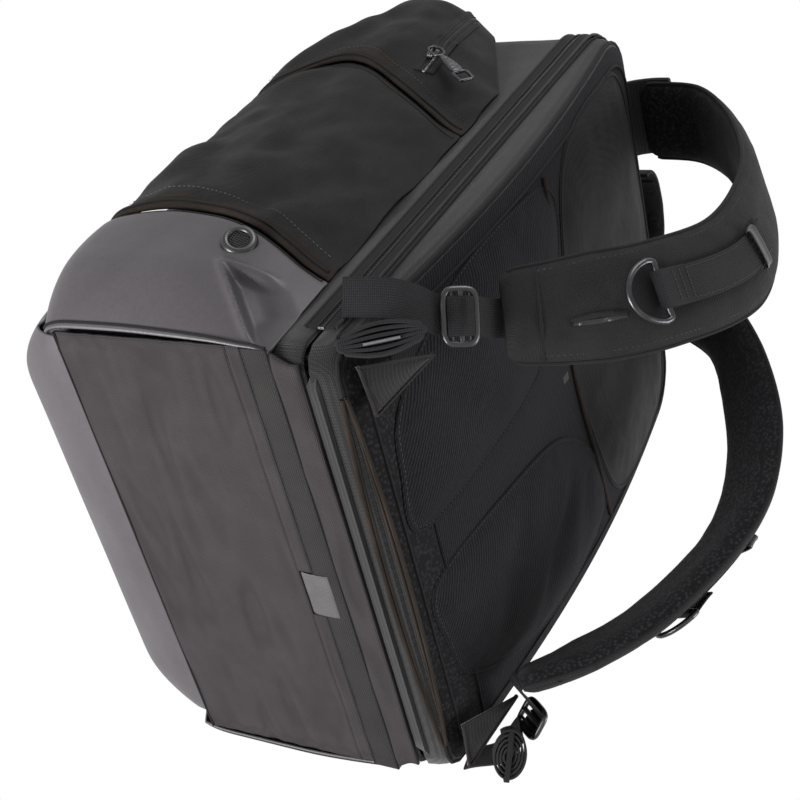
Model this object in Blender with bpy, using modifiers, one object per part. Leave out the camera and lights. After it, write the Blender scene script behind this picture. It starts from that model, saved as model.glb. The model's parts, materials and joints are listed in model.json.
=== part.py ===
"""Drone carrying case: a structured backpack with a rear-opening harness door.

Frame: metres, +Z to the top of the bag, the harness faces +Y, the front pocket faces -Y.
The origin lies under the body, on the surface that the bag stands on, midway between its sides.
"""
import math

import bmesh
import bpy
from mathutils import Matrix, Vector

# ---- Driving dimensions (metres) ------------------------------------------------------------
HEIGHT = 0.500                 # body, without the grab handle and the strap roots
HALF_WIDTH = 0.182             # body, without the side pockets
TOP_CORNER = (0.032, 0.044)    # elliptical top corners: across, down
BOTTOM_CORNER = 0.014
BODY_BASE = 0.0030             # underside of the body, on top of the base fabrics
TRAY_FRONT = -0.138
TRAY_REAR = 0.0955             # parting line of the main zip, tray side
DOOR_FRONT = 0.0990            # parting line of the main zip, door side
TRAY_WALL = 0.006
DOOR_WALL = 0.005
GAP = 0.0004                   # clearance between neighbouring pieces
BACK_FOOT = 0.121              # rear face of the door at its foot
BACK_BELLY = 0.018             # how far the rear face swells at mid height
BACK_LEAN = 0.004              # extra depth at its top

POCKET_DEPTH = 0.021           # front pocket
KICK_TOP = 0.115               # height of the leather-look kick panel
SIDE_BULGE = 0.030             # side pockets
TOP_BULGE = 0.013              # extra bulge of their upper storey
SKIN = 0.0025                  # fabric shells of the pockets

WEB_WIDTH = 0.025              # harness webbing
WEB_THICK = 0.0016
STRAP_HALF_WIDTH = 0.035
STRAP_THICK = 0.016
RING_ROD = 0.0020              # metal rod of the D-rings

BASE_THICK = 0.0026
HANDLE_DEPTH = 0.1180           # y of the grab handle's feet
LABEL_BOX = ((-0.036, 0.0440, 0.0), (0.003, 0.0545, BASE_THICK))

DOOR_AXIS = (0.0, 0.0975, 0.0040)   # the fabric hinge along the foot

# Shoulder straps: points of the middle line (x outwards, y, z) and twist in degrees.
STRAP_RIGHT = [
    (0.090, 0.130, 0.5065, 0), (0.092, 0.185, 0.492, 0), (0.096, 0.234, 0.428, -5),
    (0.101, 0.272, 0.342, -14), (0.110, 0.283, 0.248, -28), (0.130, 0.258, 0.172, -35),
    (0.142, 0.216, 0.128, -35), (0.149, 0.180, 0.104, -32),
]
STRAP_LEFT = [
    (0.088, 0.130, 0.5060, 0), (0.090, 0.185, 0.470, -12), (0.093, 0.228, 0.398, -30),
    (0.098, 0.262, 0.305, -42), (0.106, 0.267, 0.220, -50), (0.119, 0.234, 0.138, -56),
    (0.126, 0.196, 0.090, -60), (0.131, 0.158, 0.058, -54),
]
# Stations on each strap, in thirds of the spans above: top of the accessory webbing, the clip
# that slides on it, and the straight bar of the D-ring.
WEB_PLACES = {"right": (10.8, 11.6, 15.4), "left": (11.0, 12.1, 14.4)}

STRAP_ROOT = (0.0895, 0.1340, 0.5060)     # where each strap is sewn in under its yoke

# Lower harness on each side: ladder-lock centre, its outward normal, and the webbing's sewn end.
LOCK_RIGHT = ((0.1640, 0.1640, 0.0800), (0.55, 0.60, -0.58))
LOCK_LEFT = ((0.1590, 0.1640, 0.0520), (0.70, 0.62, 0.35))
ANCHOR_RIGHT = (0.1950, 0.1060, 0.0470)
ANCHOR_LEFT = (0.1920, 0.1160, 0.0300)


# ---- Scene and materials --------------------------------------------------------------------
def clear_scene():
    for item in list(bpy.data.objects):
        bpy.data.objects.remove(item, do_unlink=True)


def make_collection(name):
    group = bpy.data.collections.new(name)
    bpy.context.scene.collection.children.link(group)
    return group


def make_material(name, colour, roughness, metallic=0.0):
    material = bpy.data.materials.new(name)
    material.use_nodes = True
    shader = material.node_tree.nodes["Principled BSDF"]
    shader.inputs["Base Color"].default_value = (*colour, 1.0)
    shader.inputs["Roughness"].default_value = roughness
    shader.inputs["Metallic"].default_value = metallic
    return material


FINISHES = {
    "nylon": ((0.022, 0.022, 0.025), 0.80, 0.0),
    "leather": ((0.080, 0.073, 0.082), 0.45, 0.0),
    "base_fabric": ((0.055, 0.048, 0.052), 0.75, 0.0),
    "mesh": ((0.012, 0.012, 0.014), 0.90, 0.0),
    "webbing": ((0.020, 0.020, 0.022), 0.70, 0.0),
    "zip": ((0.015, 0.015, 0.017), 0.50, 0.0),
    "label": ((0.300, 0.285, 0.290), 0.80, 0.0),
    "gunmetal": ((0.120, 0.115, 0.120), 0.35, 0.9),
    "hard_plastic": ((0.018, 0.018, 0.020), 0.40, 0.0),
    "foam": ((0.060, 0.060, 0.065), 0.90, 0.0),
    "lining": ((0.090, 0.090, 0.095), 0.85, 0.0),
}


def new_object(name, mesh, finish, smooth=True):
    """Link a mesh as one named piece of the case, with its own material."""
    item = bpy.data.objects.new(name, mesh)
    CASE.objects.link(item)
    colour, roughness, metallic = FINISHES[finish]
    mesh.materials.append(make_material(name, colour, roughness, metallic))
    if smooth:
        mesh.shade_smooth()
        mesh.set_sharp_from_angle(angle=math.radians(40))
    return item


# ---- Shape helpers --------------------------------------------------------------------------
def mesh_from(bm, name):
    bmesh.ops.recalc_face_normals(bm, faces=bm.faces)
    mesh = bpy.data.meshes.new(name)
    bm.to_mesh(mesh)
    bm.free()
    return mesh


def add_box(name, low, high, finish, bevel=0.0, segments=2):
    bm = bmesh.new()
    size = [b - a for a, b in zip(low, high)]
    middle = [(a + b) / 2 for a, b in zip(low, high)]
    bmesh.ops.create_cube(bm, size=1.0, matrix=Matrix.Translation(middle) @ Matrix.Diagonal((*size, 1)))
    item = new_object(name, mesh_from(bm, name), finish)
    if bevel:
        edge = item.modifiers.new("rounded edges", "BEVEL")
        edge.width = bevel
        edge.segments = segments
    return item


def loft(name, rings, finish, close_start=True, close_end=True, ring_closed=True):
    """Skin a list of rings with equal point counts; the ends can be capped."""
    bm = bmesh.new()
    rows = [[bm.verts.new(point) for point in ring] for ring in rings]
    count = len(rows[0])
    spans = count if ring_closed else count - 1
    for lower, upper in zip(rows, rows[1:]):
        for i in range(spans):
            j = (i + 1) % count
            bm.faces.new((lower[i], lower[j], upper[j], upper[i]))
    if close_start:
        bm.faces.new(rows[0][::-1])
    if close_end:
        bm.faces.new(rows[-1])
    return new_object(name, mesh_from(bm, name), finish)


def thicken(item, wall, offset):
    shell = item.modifiers.new("wall", "SOLIDIFY")
    shell.thickness = wall
    shell.offset = offset
    shell.use_even_offset = True
    return item


def smooth_path(points, steps):
    """Catmull-Rom curve through the points, with equal steps in each span."""
    values = [Vector(p) for p in points]
    ends = [2 * values[0] - values[1]] + values + [2 * values[-1] - values[-2]]
    path = []
    for i in range(1, len(ends) - 2):
        a, b, c, d = ends[i - 1:i + 3]
        for k in range(steps):
            s = k / steps
            path.append(0.5 * (2 * b + (c - a) * s + (2 * a - 5 * b + 4 * c - d) * s**2
                               + (3 * b - a - 3 * c + d) * s**3))
    path.append(ends[-2])
    return path


def directions(path):
    found = []
    for i in range(len(path)):
        before = path[max(i - 1, 0)]
        after = path[min(i + 1, len(path) - 1)]
        found.append((after - before).normalized())
    return found


def band_frames(path, twists, across):
    """Width and face directions along a band, twisted about its own run."""
    frames = []
    for tangent, twist in zip(directions(path), twists):
        wide = (across - across.dot(tangent) * tangent).normalized()
        face = wide.cross(tangent)
        angle = math.radians(twist)
        frames.append((math.cos(angle) * wide + math.sin(angle) * face,
                       math.cos(angle) * face - math.sin(angle) * wide))
    return frames


def band(name, path, frames, half_width, thickness, finish, corner=0.0, taper=None):
    """Sweep a flat or cushioned section along a path; the taper scales its width and thickness."""
    rings = []
    for i, (middle, (wide, face)) in enumerate(zip(path, frames)):
        narrow, thin = taper[i] if taper else (1.0, 1.0)
        half = half_width * narrow
        depth = thickness / 2 * thin
        inner = half - corner
        outline = [(-half, 0), (-inner, -depth), (inner, -depth), (half, 0), (inner, depth), (-inner, depth)]
        if corner == 0.0:
            outline = [(-half, -depth), (half, -depth), (half, depth), (-half, depth)]
        rings.append([middle + wide * u + face * v for u, v in outline])
    return loft(name, rings, finish)


def tube(name, points, radius, finish, cyclic=False, resolution=2):
    curve = bpy.data.curves.new(name, "CURVE")
    curve.dimensions = "3D"
    curve.bevel_depth = radius
    curve.bevel_resolution = resolution
    curve.use_fill_caps = not cyclic
    spline = curve.splines.new("POLY")
    spline.points.add(len(points) - 1)
    spline.use_cyclic_u = cyclic
    for slot, point in zip(spline.points, points):
        slot.co = (*point, 1.0)
    item = bpy.data.objects.new(name, curve)
    CASE.objects.link(item)
    colour, roughness, metallic = FINISHES[finish]
    curve.materials.append(make_material(name, colour, roughness, metallic))
    return item


def cut(item, cutter):
    CUTTERS.objects.link(cutter)
    cutter.parent = item
    cutter.hide_render = True
    cutter.display_type = "WIRE"
    step = item.modifiers.new("cut " + cutter.name, "BOOLEAN")
    step.operation = "DIFFERENCE"
    step.object = cutter
    return item


def box_cutter(name, low, high):
    bm = bmesh.new()
    size = [b - a for a, b in zip(low, high)]
    middle = [(a + b) / 2 for a, b in zip(low, high)]
    bmesh.ops.create_cube(bm, size=1.0, matrix=Matrix.Translation(middle) @ Matrix.Diagonal((*size, 1)))
    return bpy.data.objects.new(name, mesh_from(bm, name))


def axis_empty(name, place, turn=None, parent=None):
    """Empty on a joint's axis, turned with it, that carries the pieces which move together."""
    carrier = bpy.data.objects.new(name, None)
    CASE.objects.link(carrier)
    carrier.empty_display_size = 0.02
    turn = turn or Matrix.Identity(3)
    carrier.matrix_basis = Matrix.Translation(place) @ turn.to_4x4()
    if parent:
        carry(parent, carrier)
    return carrier


def carry(carrier, *pieces):
    """Parent pieces to a carrier and leave them where they are."""
    for piece in pieces:
        piece.parent = carrier
        piece.matrix_parent_inverse = carrier.matrix_basis.inverted()


def pick(*names):
    return [CASE.objects[name] for name in names]


# ---- Body outline ---------------------------------------------------------------------------
def body_outline(inset=0.0, base=BODY_BASE):
    """Closed outline of the bag seen from behind, as (x, z) points, going round once."""
    half = HALF_WIDTH - inset
    top = HEIGHT - inset
    low = base + inset
    across = TOP_CORNER[0]
    down = TOP_CORNER[1]
    corner = BOTTOM_CORNER
    side = []
    for k in range(4):
        angle = math.radians(30 * k)
        side.append((half - corner + corner * math.sin(angle), low + corner - corner * math.cos(angle)))
    for k in (1, 2, 3):
        side.append((half, low + corner + (top - down - low - corner) * k / 4))
    for k in range(7):
        angle = math.radians(15 * k)
        side.append((half - across + across * math.cos(angle), top - down + down * math.sin(angle)))
    middle_top = [(0.06, top), (0.0, top), (-0.06, top)]
    middle_base = [(-0.08, low), (0.0, low), (0.08, low)]
    mirrored = [(-x, z) for x, z in reversed(side)]
    return side + middle_top + mirrored + middle_base


def side_x(z):
    """Half width of the body at height z, on its upper rounded corners too."""
    start = HEIGHT - TOP_CORNER[1]
    if z <= start:
        return HALF_WIDTH
    rise = min((z - start) / TOP_CORNER[1], 1.0)
    return HALF_WIDTH - TOP_CORNER[0] + TOP_CORNER[0] * math.sqrt(1.0 - rise**2)


def back_y(z):
    """Depth of the contoured rear face at height z."""
    u = min(max(z / HEIGHT, 0.0), 1.0)
    return BACK_FOOT + BACK_BELLY * math.sin(math.pi * u) + BACK_LEAN * u


# ---- Root body: tray, base, pockets ---------------------------------------------------------
def make_tray():
    steps = [(TRAY_REAR, 0.0, 0.0), (-0.094, 0.0, 0.0), (-0.120, 0.003, 0.011), (-0.132, 0.010, 0.018),
             (TRAY_FRONT, 0.022, 0.024)]
    rings = [[(x, y, z) for x, z in body_outline(inset, BODY_BASE + lift)] for y, inset, lift in steps]
    shell = loft("tray_shell", rings, "nylon", close_start=False)
    thicken(shell, TRAY_WALL, -1.0)


def make_base():
    half = HALF_WIDTH - 0.012
    panel = add_box("base_panel", (-half, -0.0910, 0.0), (half, 0.0545, BASE_THICK), "base_fabric")
    low, high = LABEL_BOX
    notch = box_cutter("label_notch", (low[0] - GAP, low[1] - GAP, -0.01), (high[0] + GAP, high[1] + 0.01, 0.01))
    cut(panel, notch)
    add_box("base_label", low, high, "label")
    add_box("base_webbing", (-half, 0.0550, 0.0), (half, 0.0740, BASE_THICK), "webbing")
    add_box("base_rear_panel", (-half, 0.0745, 0.0), (half, 0.0925, BASE_THICK), "base_fabric")


def make_front_pocket():
    start = TRAY_FRONT - GAP
    front = TRAY_FRONT - POCKET_DEPTH
    steps = [(start, 0.030), (front + 0.007, 0.030), (front + 0.002, 0.033), (front, 0.040)]
    rings = [[(x, y, z) for x, z in body_outline(inset, KICK_TOP - 0.028)] for y, inset in steps]
    pocket = loft("front_pocket", rings, "nylon", close_start=False)
    thicken(pocket, SKIN, -1.0)


def make_kick_panel():
    """Leather-look panel that turns from the underside up the front."""
    outer = [(-0.0935, 0.0), (-0.118, 0.0045), (-0.146, 0.0150), (-0.158, 0.030), (-0.1615, 0.055), (-0.1615, KICK_TOP)]
    inner = [(y + SKIN * 0.8, z + SKIN * 0.8) for y, z in outer[1:-1]]
    inner = [(outer[0][0], 0.0020)] + inner + [(outer[-1][0] + SKIN, KICK_TOP)]
    corner = [(0.174, 0.022), (0.162, 0.010), (0.146, 0.002), (0.130, 0.0)]
    stations = [(-x, back) for x, back in corner] + corner[::-1]
    rings = []
    for x, back in stations:
        front = [(x, y + back * min(z / 0.02, 1.0), z) for y, z in outer]
        rear = [(x, y + back * min(z / 0.02, 1.0), z) for y, z in inner]
        rings.append(front + rear[::-1])
    loft("front_kick_panel", rings, "leather")


# Side pockets: cross-section as fractions of depth (from front to rear) and of the bulge.
FLANK = [(0.00, 0.00), (0.02, 0.45), (0.08, 0.82), (0.18, 0.96), (0.38, 1.00), (0.58, 0.94),
         (0.76, 0.66), (0.90, 0.28), (1.00, 0.00)]
CUP_LINE = [(-0.130, 0.108), (-0.065, 0.121), (0.000, 0.112), (0.030, 0.099), (0.075, 0.078)]
PANEL_LINE = [(-0.130, 0.310), (-0.065, 0.360), (-0.035, 0.356), (0.015, 0.320), (0.075, 0.284)]
POCKET_TOP = 0.508


def line_height(line, y):
    for (y0, z0), (y1, z1) in zip(line, line[1:]):
        if y <= y1:
            share = min(max((y - y0) / (y1 - y0), 0.0), 1.0)
            return z0 + (z1 - z0) * share
    return line[-1][1]


def flank_limits(z):
    """Front and rear edge of the side pockets at height z."""
    foot = max(0.0, 1.0 - z / 0.10)
    head = max(0.0, (z - 0.36) / (POCKET_TOP - 0.36))
    front = -0.130 + 0.030 * foot**2 + 0.090 * head
    rear = 0.074 + 0.002 * foot - 0.070 * head
    return front, rear


def flank_bulge(z):
    foot = max(0.0, 1.0 - z / 0.06)
    rise = min(max((z - 0.32) / 0.10, 0.0), 1.0)
    head = max(0.0, (z - 0.38) / (POCKET_TOP - 0.38))
    depth = SIDE_BULGE + TOP_BULGE * rise * rise * (3 - 2 * rise)
    return depth * (1.0 - 0.80 * foot**2) * math.sqrt(max(1.0 - head**4, 0.03))


def flank_place(side, y, z):
    """Point on the pocket skin at a given depth and height, and the outward direction there."""
    front, rear = flank_limits(z)
    share = (y - front) / (rear - front)
    for (a0, o0), (a1, o1) in zip(FLANK, FLANK[1:]):
        if share <= a1:
            break
    out = o0 + (o1 - o0) * (share - a0) / (a1 - a0)
    run_y = (rear - front) * (a1 - a0)
    run_x = flank_bulge(z) * (o1 - o0)
    normal = Vector((side * run_y, -run_x, 0.0)).normalized()
    return Vector((side * (side_x(z) + 0.0012 + flank_bulge(z) * out), y, z)), normal


def flank_ring(side, height_at):
    """Closed U-shaped section of a pocket wall, at a height that may vary with depth."""
    outer = []
    for along, out in FLANK:
        z = height_at(-0.02)
        for _ in range(4):
            front, rear = flank_limits(z)
            z = height_at(front + (rear - front) * along)
        front, rear = flank_limits(z)
        shoulder = max(0.0, (z - HEIGHT + TOP_CORNER[1]) / TOP_CORNER[1])
        body = side_x(z) + 0.0012 + 0.0050 * shoulder
        outer.append((body + flank_bulge(z) * out, front + (rear - front) * along, z, body))
    inner = []
    for i, (x, y, z, body) in enumerate(outer):
        before = outer[max(i - 1, 0)]
        after = outer[min(i + 1, len(outer) - 1)]
        run_x = after[0] - before[0]
        run_y = after[1] - before[1]
        length = math.hypot(run_x, run_y)
        at_end = i in (0, len(outer) - 1)
        x_in = body if at_end else max(x - SKIN * run_y / length, body)
        y_in = y + SKIN * (1.0 if i < len(outer) / 2 else -1.0) if at_end else y + SKIN * run_x / length
        inner.append((x_in, y_in, z))
    ring = [(side * x, y, z) for x, y, z, body in outer]
    return ring + [(side * x, y, z) for x, y, z in reversed(inner)]


def make_flank_piece(name, side, low, high, rows, finish):
    """One storey of a side pocket, between two seam lines; open towards the body."""
    rings = []
    for k in range(rows + 1):
        share = k / rows

        def height_at(y, share=share):
            return low(y) + (high(y) - low(y)) * share

        rings.append(flank_ring(side, height_at))
    return loft(name, rings, finish)


def make_side_pockets():
    for tag, side in (("right", 1), ("left", -1)):
        make_flank_piece("side_cup_" + tag, side, lambda y: 0.0005,
                         lambda y: line_height(CUP_LINE, y), 5, "leather")
        make_flank_piece("side_panel_" + tag, side, lambda y: line_height(CUP_LINE, y) + 2 * GAP,
                         lambda y: line_height(PANEL_LINE, y), 5, "nylon")
        make_flank_piece("side_pocket_" + tag, side, lambda y: line_height(PANEL_LINE, y) + 2 * GAP,
                         lambda y: POCKET_TOP, 9, "nylon")


def make_eyelets():
    """Drain eyelets in the rear flank of the cups."""
    for tag, side in (("right", 1), ("left", -1)):
        place, normal = flank_place(side, *EYELET_PLACE)
        frame = Matrix.Translation(place + normal * 0.0016) @ frame_from(normal, (0, 0, 1)).to_4x4()
        name = "drain_eyelet_" + tag
        bm = bmesh.new()
        bmesh.ops.create_cone(bm, cap_ends=True, segments=20, radius1=0.0120, radius2=0.0105, depth=0.0020)
        bmesh.ops.transform(bm, verts=bm.verts, matrix=frame)
        new_object(name, mesh_from(bm, name), "hard_plastic")


EYELET_PLACE = (0.010, 0.086)           # y, z
SIDE_ZIP_PLACE = (0.018, 0.363)


def zip_track(offset, low=0.030):
    """Centre line of the main zip round the body, from one foot over the top to the other."""
    outline = body_outline(-offset)
    upper = [(x, z) for x, z in outline if z > low and z > BODY_BASE + BOTTOM_CORNER + 0.001]
    right = sorted([p for p in upper if p[0] > 0], key=lambda p: (p[1], -p[0]))
    foot = (HALF_WIDTH + offset, low)
    middle = [(0.0, HEIGHT + offset)]
    arc = [foot] + right
    return arc + middle + [(-x, z) for x, z in reversed(arc)]


def make_zip_tape(name, front, rear, finish="zip"):
    thick = 0.0012
    rings = []
    inner = zip_track(0.0005)
    outer = zip_track(0.0005 + thick)
    for (xi, zi), (xo, zo) in zip(inner, outer):
        rings.append([(xi, front, zi), (xo, front, zo), (xo, rear, zo), (xi, rear, zi)])
    loft(name, rings, finish)


def make_interior():
    """Padded drone bay: cradle, dividers and hold-down strap."""
    back = TRAY_FRONT + TRAY_WALL + 0.001
    wide = HALF_WIDTH - TRAY_WALL - 0.0015
    cradle = add_box("foam_cradle", (-wide, back + 0.030, 0.176), (wide, -0.010, 0.398), "foam", 0.004, 1)
    bm = bmesh.new()
    bmesh.ops.create_cone(bm, cap_ends=True, segments=24, radius1=0.085, radius2=0.095, depth=0.10)
    turn = Matrix.Rotation(math.radians(-90), 3, "X")
    bmesh.ops.transform(bm, verts=bm.verts, matrix=Matrix.Translation((0, -0.010, 0.287)) @ turn.to_4x4())
    cut(cradle, bpy.data.objects.new("drone_body_recess", mesh_from(bm, "drone_body_recess")))
    front = back + 0.030
    rear = 0.076
    add_box("shelf_divider", (-wide, front, 0.164), (wide, rear, 0.1755), "lining", 0.003, 1)
    add_box("top_divider", (-wide + 0.010, front, 0.3985), (wide - 0.010, rear, 0.4095), "lining", 0.003, 1)
    for tag, side in (("right", 1), ("left", -1)):
        low = (side * 0.075 - 0.005, front + 0.014, BODY_BASE + TRAY_WALL + 0.001)
        high = (side * 0.075 + 0.005, rear, 0.1635)
        add_box("battery_divider_" + tag, low, high, "lining", 0.003, 1)
    add_box("hold_down_strap", (-wide, -0.0090, 0.2740), (wide, -0.0070, 0.3000), "webbing")


# ---- Sliders and pulls ----------------------------------------------------------------------
SLIDER_SIZE = (0.0085, 0.012, 0.0035)


def make_slider(name, place, turn, size=SLIDER_SIZE):
    """Zip slider: wedge body with a bridge for the pull; local Z stands off the zip."""
    wide, long, high = size
    rings = []
    for along, half in ((-long / 2, wide * 0.32), (0.0, wide * 0.50), (long / 2, wide * 0.50)):
        rings.append([(-half, along, 0.0), (half, along, 0.0), (half, along, high), (-half, along, high)])
    frame = Matrix.Translation(place) @ turn.to_4x4()
    rings = [[frame @ Vector(p) for p in ring] for ring in rings]
    loft(name, rings, "gunmetal")


def make_pull(name, place, turn, length=0.046):
    """Moulded pull hanging from its pivot along local -Y; local Z stands off the surface."""
    sections = [(0.0000, 0.0026), (0.0050, 0.0046), (0.0140, 0.0050), (0.0160, 0.0036), (0.0200, 0.0048),
                (length - 0.011, 0.0060), (length, 0.0064)]
    thick = 0.0028
    frame = Matrix.Translation(place) @ turn.to_4x4()
    rings = []
    for along, half in sections:
        corners = [(-half, -along, 0.0), (half, -along, 0.0), (half, -along, thick), (-half, -along, thick)]
        rings.append([frame @ Vector(p) for p in corners])
    pull = loft(name, rings, "hard_plastic")
    for tag, start, end, half in (("ring", 0.0045, 0.0125, 0.0027), ("window", length - 0.0090, length - 0.0030, 0.0036)):
        bm = bmesh.new()
        matrix = frame @ Matrix.Translation((0, -(start + end) / 2, thick / 2)) @ Matrix.Diagonal(
            (2 * half, end - start, 0.02, 1))
        bmesh.ops.create_cube(bm, size=1.0, matrix=matrix)
        cut(pull, bpy.data.objects.new(name + "_" + tag, mesh_from(bm, name + "_" + tag)))


def frame_from(out, up):
    """Rotation whose local Z is out and whose local Y is as near up as it can be."""
    z = Vector(out).normalized()
    y = (Vector(up) - Vector(up).dot(z) * z).normalized()
    x = y.cross(z)
    return Matrix((x, y, z)).transposed()


def make_zip_set(kind, tag, place, out, along, hang, length):
    """Slider and swinging pull of one zip; each hangs on an empty on its joint."""
    slider = "_".join(filter(None, (kind, "zip_slider", tag)))
    pull = "_".join(filter(None, (kind, "zip_pull", tag)))
    turn = frame_from(out, along)
    make_slider(slider, place, turn)
    swing = place + Vector(out).normalized() * 0.0042
    hang_turn = frame_from(out, [-h for h in hang])
    make_pull(pull, swing, hang_turn, length)
    run = axis_empty(slider + "_axis", place, turn)
    carry(run, *pick(slider))
    carry(axis_empty(pull + "_axis", swing, hang_turn, run), *pick(pull))


def make_zips():
    for tag, side in (("right", 1), ("left", -1)):
        skin, out = flank_place(side, *SIDE_ZIP_PLACE)
        make_zip_set("side", tag, skin + out * 0.0030, out, (0, 0, 1), (0, 1.0, -0.72), 0.055)
        centre = Vector((side * 0.012, DOOR_FRONT - 0.00175, HEIGHT + 0.0022))
        make_zip_set("main", tag, centre, (0, 0, 1), (side, 0, 0), (0, -1, 0), 0.040)
    front = Vector((0.100, TRAY_FRONT - POCKET_DEPTH - 0.0003, 0.380))
    make_zip_set("front", "", front, (0, -1, 0), (-1, 0, 0), (0, 0, -1), 0.040)


# ---- Door: harness panel, pads, sleeve ------------------------------------------------------
def make_door():
    rings = []
    for depth, inset in ((None, 0.0), (0.014, 0.0), (0.0055, 0.0030), (0.0015, 0.0080), (0.0, 0.0150)):
        ring = []
        for x, z in body_outline(inset):
            ring.append((x, DOOR_FRONT if depth is None else back_y(z) - depth, z))
        rings.append(ring)
    centre = HEIGHT / 2
    for scale in (0.72, 0.44, 0.16):
        ring = []
        for x, z in body_outline(0.0150):
            height = centre + (z - centre) * scale
            ring.append((x * scale, back_y(height), height))
        rings.append(ring)
    shell = loft("door_shell", rings, "nylon", close_start=False)
    thicken(shell, DOOR_WALL, -1.0)


def pad_outline(points, steps=3):
    closed = [Vector((x, 0, z)) for x, z in points]
    count = len(closed)
    path = []
    for i in range(count):
        a, b, c, d = (closed[(i + k - 1) % count] for k in range(4))
        for k in range(steps):
            s = k / steps
            point = 0.5 * (2 * b + (c - a) * s + (2 * a - 5 * b + 4 * c - d) * s**2
                           + (3 * b - a - 3 * c + d) * s**3)
            path.append((point.x, point.z))
    return path


def make_pad(name, points, height, finish, steps=3):
    """Crowned pad on the contoured rear face."""
    outline = pad_outline(points, steps)
    cx = sum(x for x, z in outline) / len(outline)
    cz = sum(z for x, z in outline) / len(outline)
    rings = []
    levels = [(0.66, 0.0), (1.0, 0.0), (1.0, 0.35), (0.94, 0.75), (0.80, 0.95), (0.50, 1.0)]
    for scale, rise in levels:
        ring = []
        for x, z in outline:
            px = cx + (x - cx) * scale
            pz = cz + (z - cz) * scale
            ring.append((px, back_y(pz) + PAD_CLEARANCE + height * rise, pz))
        rings.append(ring)
    loft(name, rings, finish)


PAD_CLEARANCE = 0.0017          # the pads lie on the facets of the rear face
UPPER_PAD = [(0.150, 0.315), (0.160, 0.400), (0.135, 0.462), (0.0, 0.474), (-0.135, 0.462), (-0.160, 0.400),
             (-0.150, 0.315), (-0.080, 0.283), (0.0, 0.270), (0.080, 0.283)]
LUMBAR_PAD = [(0.026, 0.040), (0.024, 0.140), (0.040, 0.220), (0.090, 0.268), (0.140, 0.276), (0.158, 0.230),
              (0.156, 0.130), (0.118, 0.052), (0.075, 0.036)]


def make_back_pads():
    make_pad("upper_back_pad", UPPER_PAD, 0.009, "mesh")
    make_pad("lumbar_pad_right", LUMBAR_PAD, 0.010, "mesh", 2)
    make_pad("lumbar_pad_left", [(-x, z) for x, z in LUMBAR_PAD][::-1], 0.010, "mesh", 2)


def make_sleeve():
    """Laptop sleeve on the inner face of the door: a panel that stands off the door."""
    wide = HALF_WIDTH - DOOR_WALL - 0.002
    front = 0.0800
    rings = []
    for x, y in ((-wide + 0.006, DOOR_FRONT + 0.006), (-wide + 0.006, front + 0.006), (-wide + 0.018, front),
                 (0, front), (wide - 0.018, front), (wide - 0.006, front + 0.006), (wide - 0.006, DOOR_FRONT + 0.006)):
        rings.append((x, y))
    low = BODY_BASE + DOOR_WALL + 0.010
    levels = [low, 0.345]
    outline = [[(x, y, z) for x, y in rings] for z in levels]
    sleeve = loft("laptop_sleeve", outline, "lining", close_start=False, close_end=False, ring_closed=False)
    thicken(sleeve, 0.0022, 0.0)


def make_rain_zip():
    """Lens-shaped zipped slot of the rain-cover pocket, on the rear lower edge."""
    face = Vector((0, 0.62, -0.785)).normalized()
    along = Vector((1, 0, 0))
    wide = along.cross(face)
    rings = []
    for k in range(13):
        x = -0.145 + 0.290 * k / 12
        half = 0.0008 + 0.0062 * math.sin(math.pi * k / 12)
        middle = Vector((x, 0.1162, 0.0068)) + face * 0.0022
        rings.append([middle + wide * u + face * v for u, v in
                      ((-half, -0.0006), (half, -0.0006), (half, 0.0006), (-half, 0.0006))])
    loft("rain_cover_zip", rings, "zip")


def make_top_fittings():
    for tag, side in (("right", 1), ("left", -1)):
        points = [(side * 0.089, 0.1090, HEIGHT + 0.0042), (side * 0.089, 0.1180, HEIGHT + 0.0140),
                  (side * 0.089, 0.1360, HEIGHT + 0.0185), (side * 0.089, 0.1540, HEIGHT + 0.0185)]
        path = smooth_path(points, 3)
        frames = band_frames(path, [0] * len(path), Vector((1, 0, 0)))
        band("strap_yoke_" + tag, path, frames, STRAP_HALF_WIDTH, 0.0055, "nylon", 0.004)
    half_arch = [(0.040, 0.0015), (0.037, 0.015), (0.023, 0.025), (0.0, 0.028)]
    right = [(x, HANDLE_DEPTH, HEIGHT + rise) for x, rise in half_arch]
    left = [(-x, y, z) for x, y, z in right[:-1]]
    path = smooth_path(left + right[::-1], 2)
    frames = band_frames(path, [0] * len(path), Vector((0, 1, 0)))
    band("grab_handle", path, frames, 0.0095, 0.0040, "webbing")


def make_wings():
    """Triangular fabric wings at the lower corners, where the harness webbing is sewn in."""
    for tag, side in (("right", 1), ("left", -1)):
        corners = [(0.172, 0.1300, 0.0080), (0.134, 0.1310, 0.0120), (0.148, 0.1500, 0.0600)]
        rings = []
        for lift in (0.0, 0.0025):
            rings.append([(side * x, y + lift, z) for x, y, z in corners])
        loft("corner_wing_" + tag, rings, "nylon")


# ---- Shoulder straps and their hardware -----------------------------------------------------
def strap_run(side):
    stations = STRAP_RIGHT if side > 0 else STRAP_LEFT
    lifted = [(side * x, y, z) for x, y, z, twist in stations]
    path = smooth_path(lifted, 3)
    twists = []
    for (a, b) in zip(stations, stations[1:]):
        twists += [a[3] + (b[3] - a[3]) * k / 3 for k in range(3)]
    twists.append(stations[-1][3])
    frames = band_frames(path, [side * t for t in twists], Vector((1, 0, 0)))
    return path, frames


def strap_point(path, frames, place, lift):
    """Point and frame at a fractional station, lifted off the outer face."""
    i = int(place)
    share = place - i
    middle = path[i].lerp(path[min(i + 1, len(path) - 1)], share)
    wide, face = frames[i]
    tangent = directions(path)[i]
    return middle + face * lift, wide, face, tangent


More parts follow.
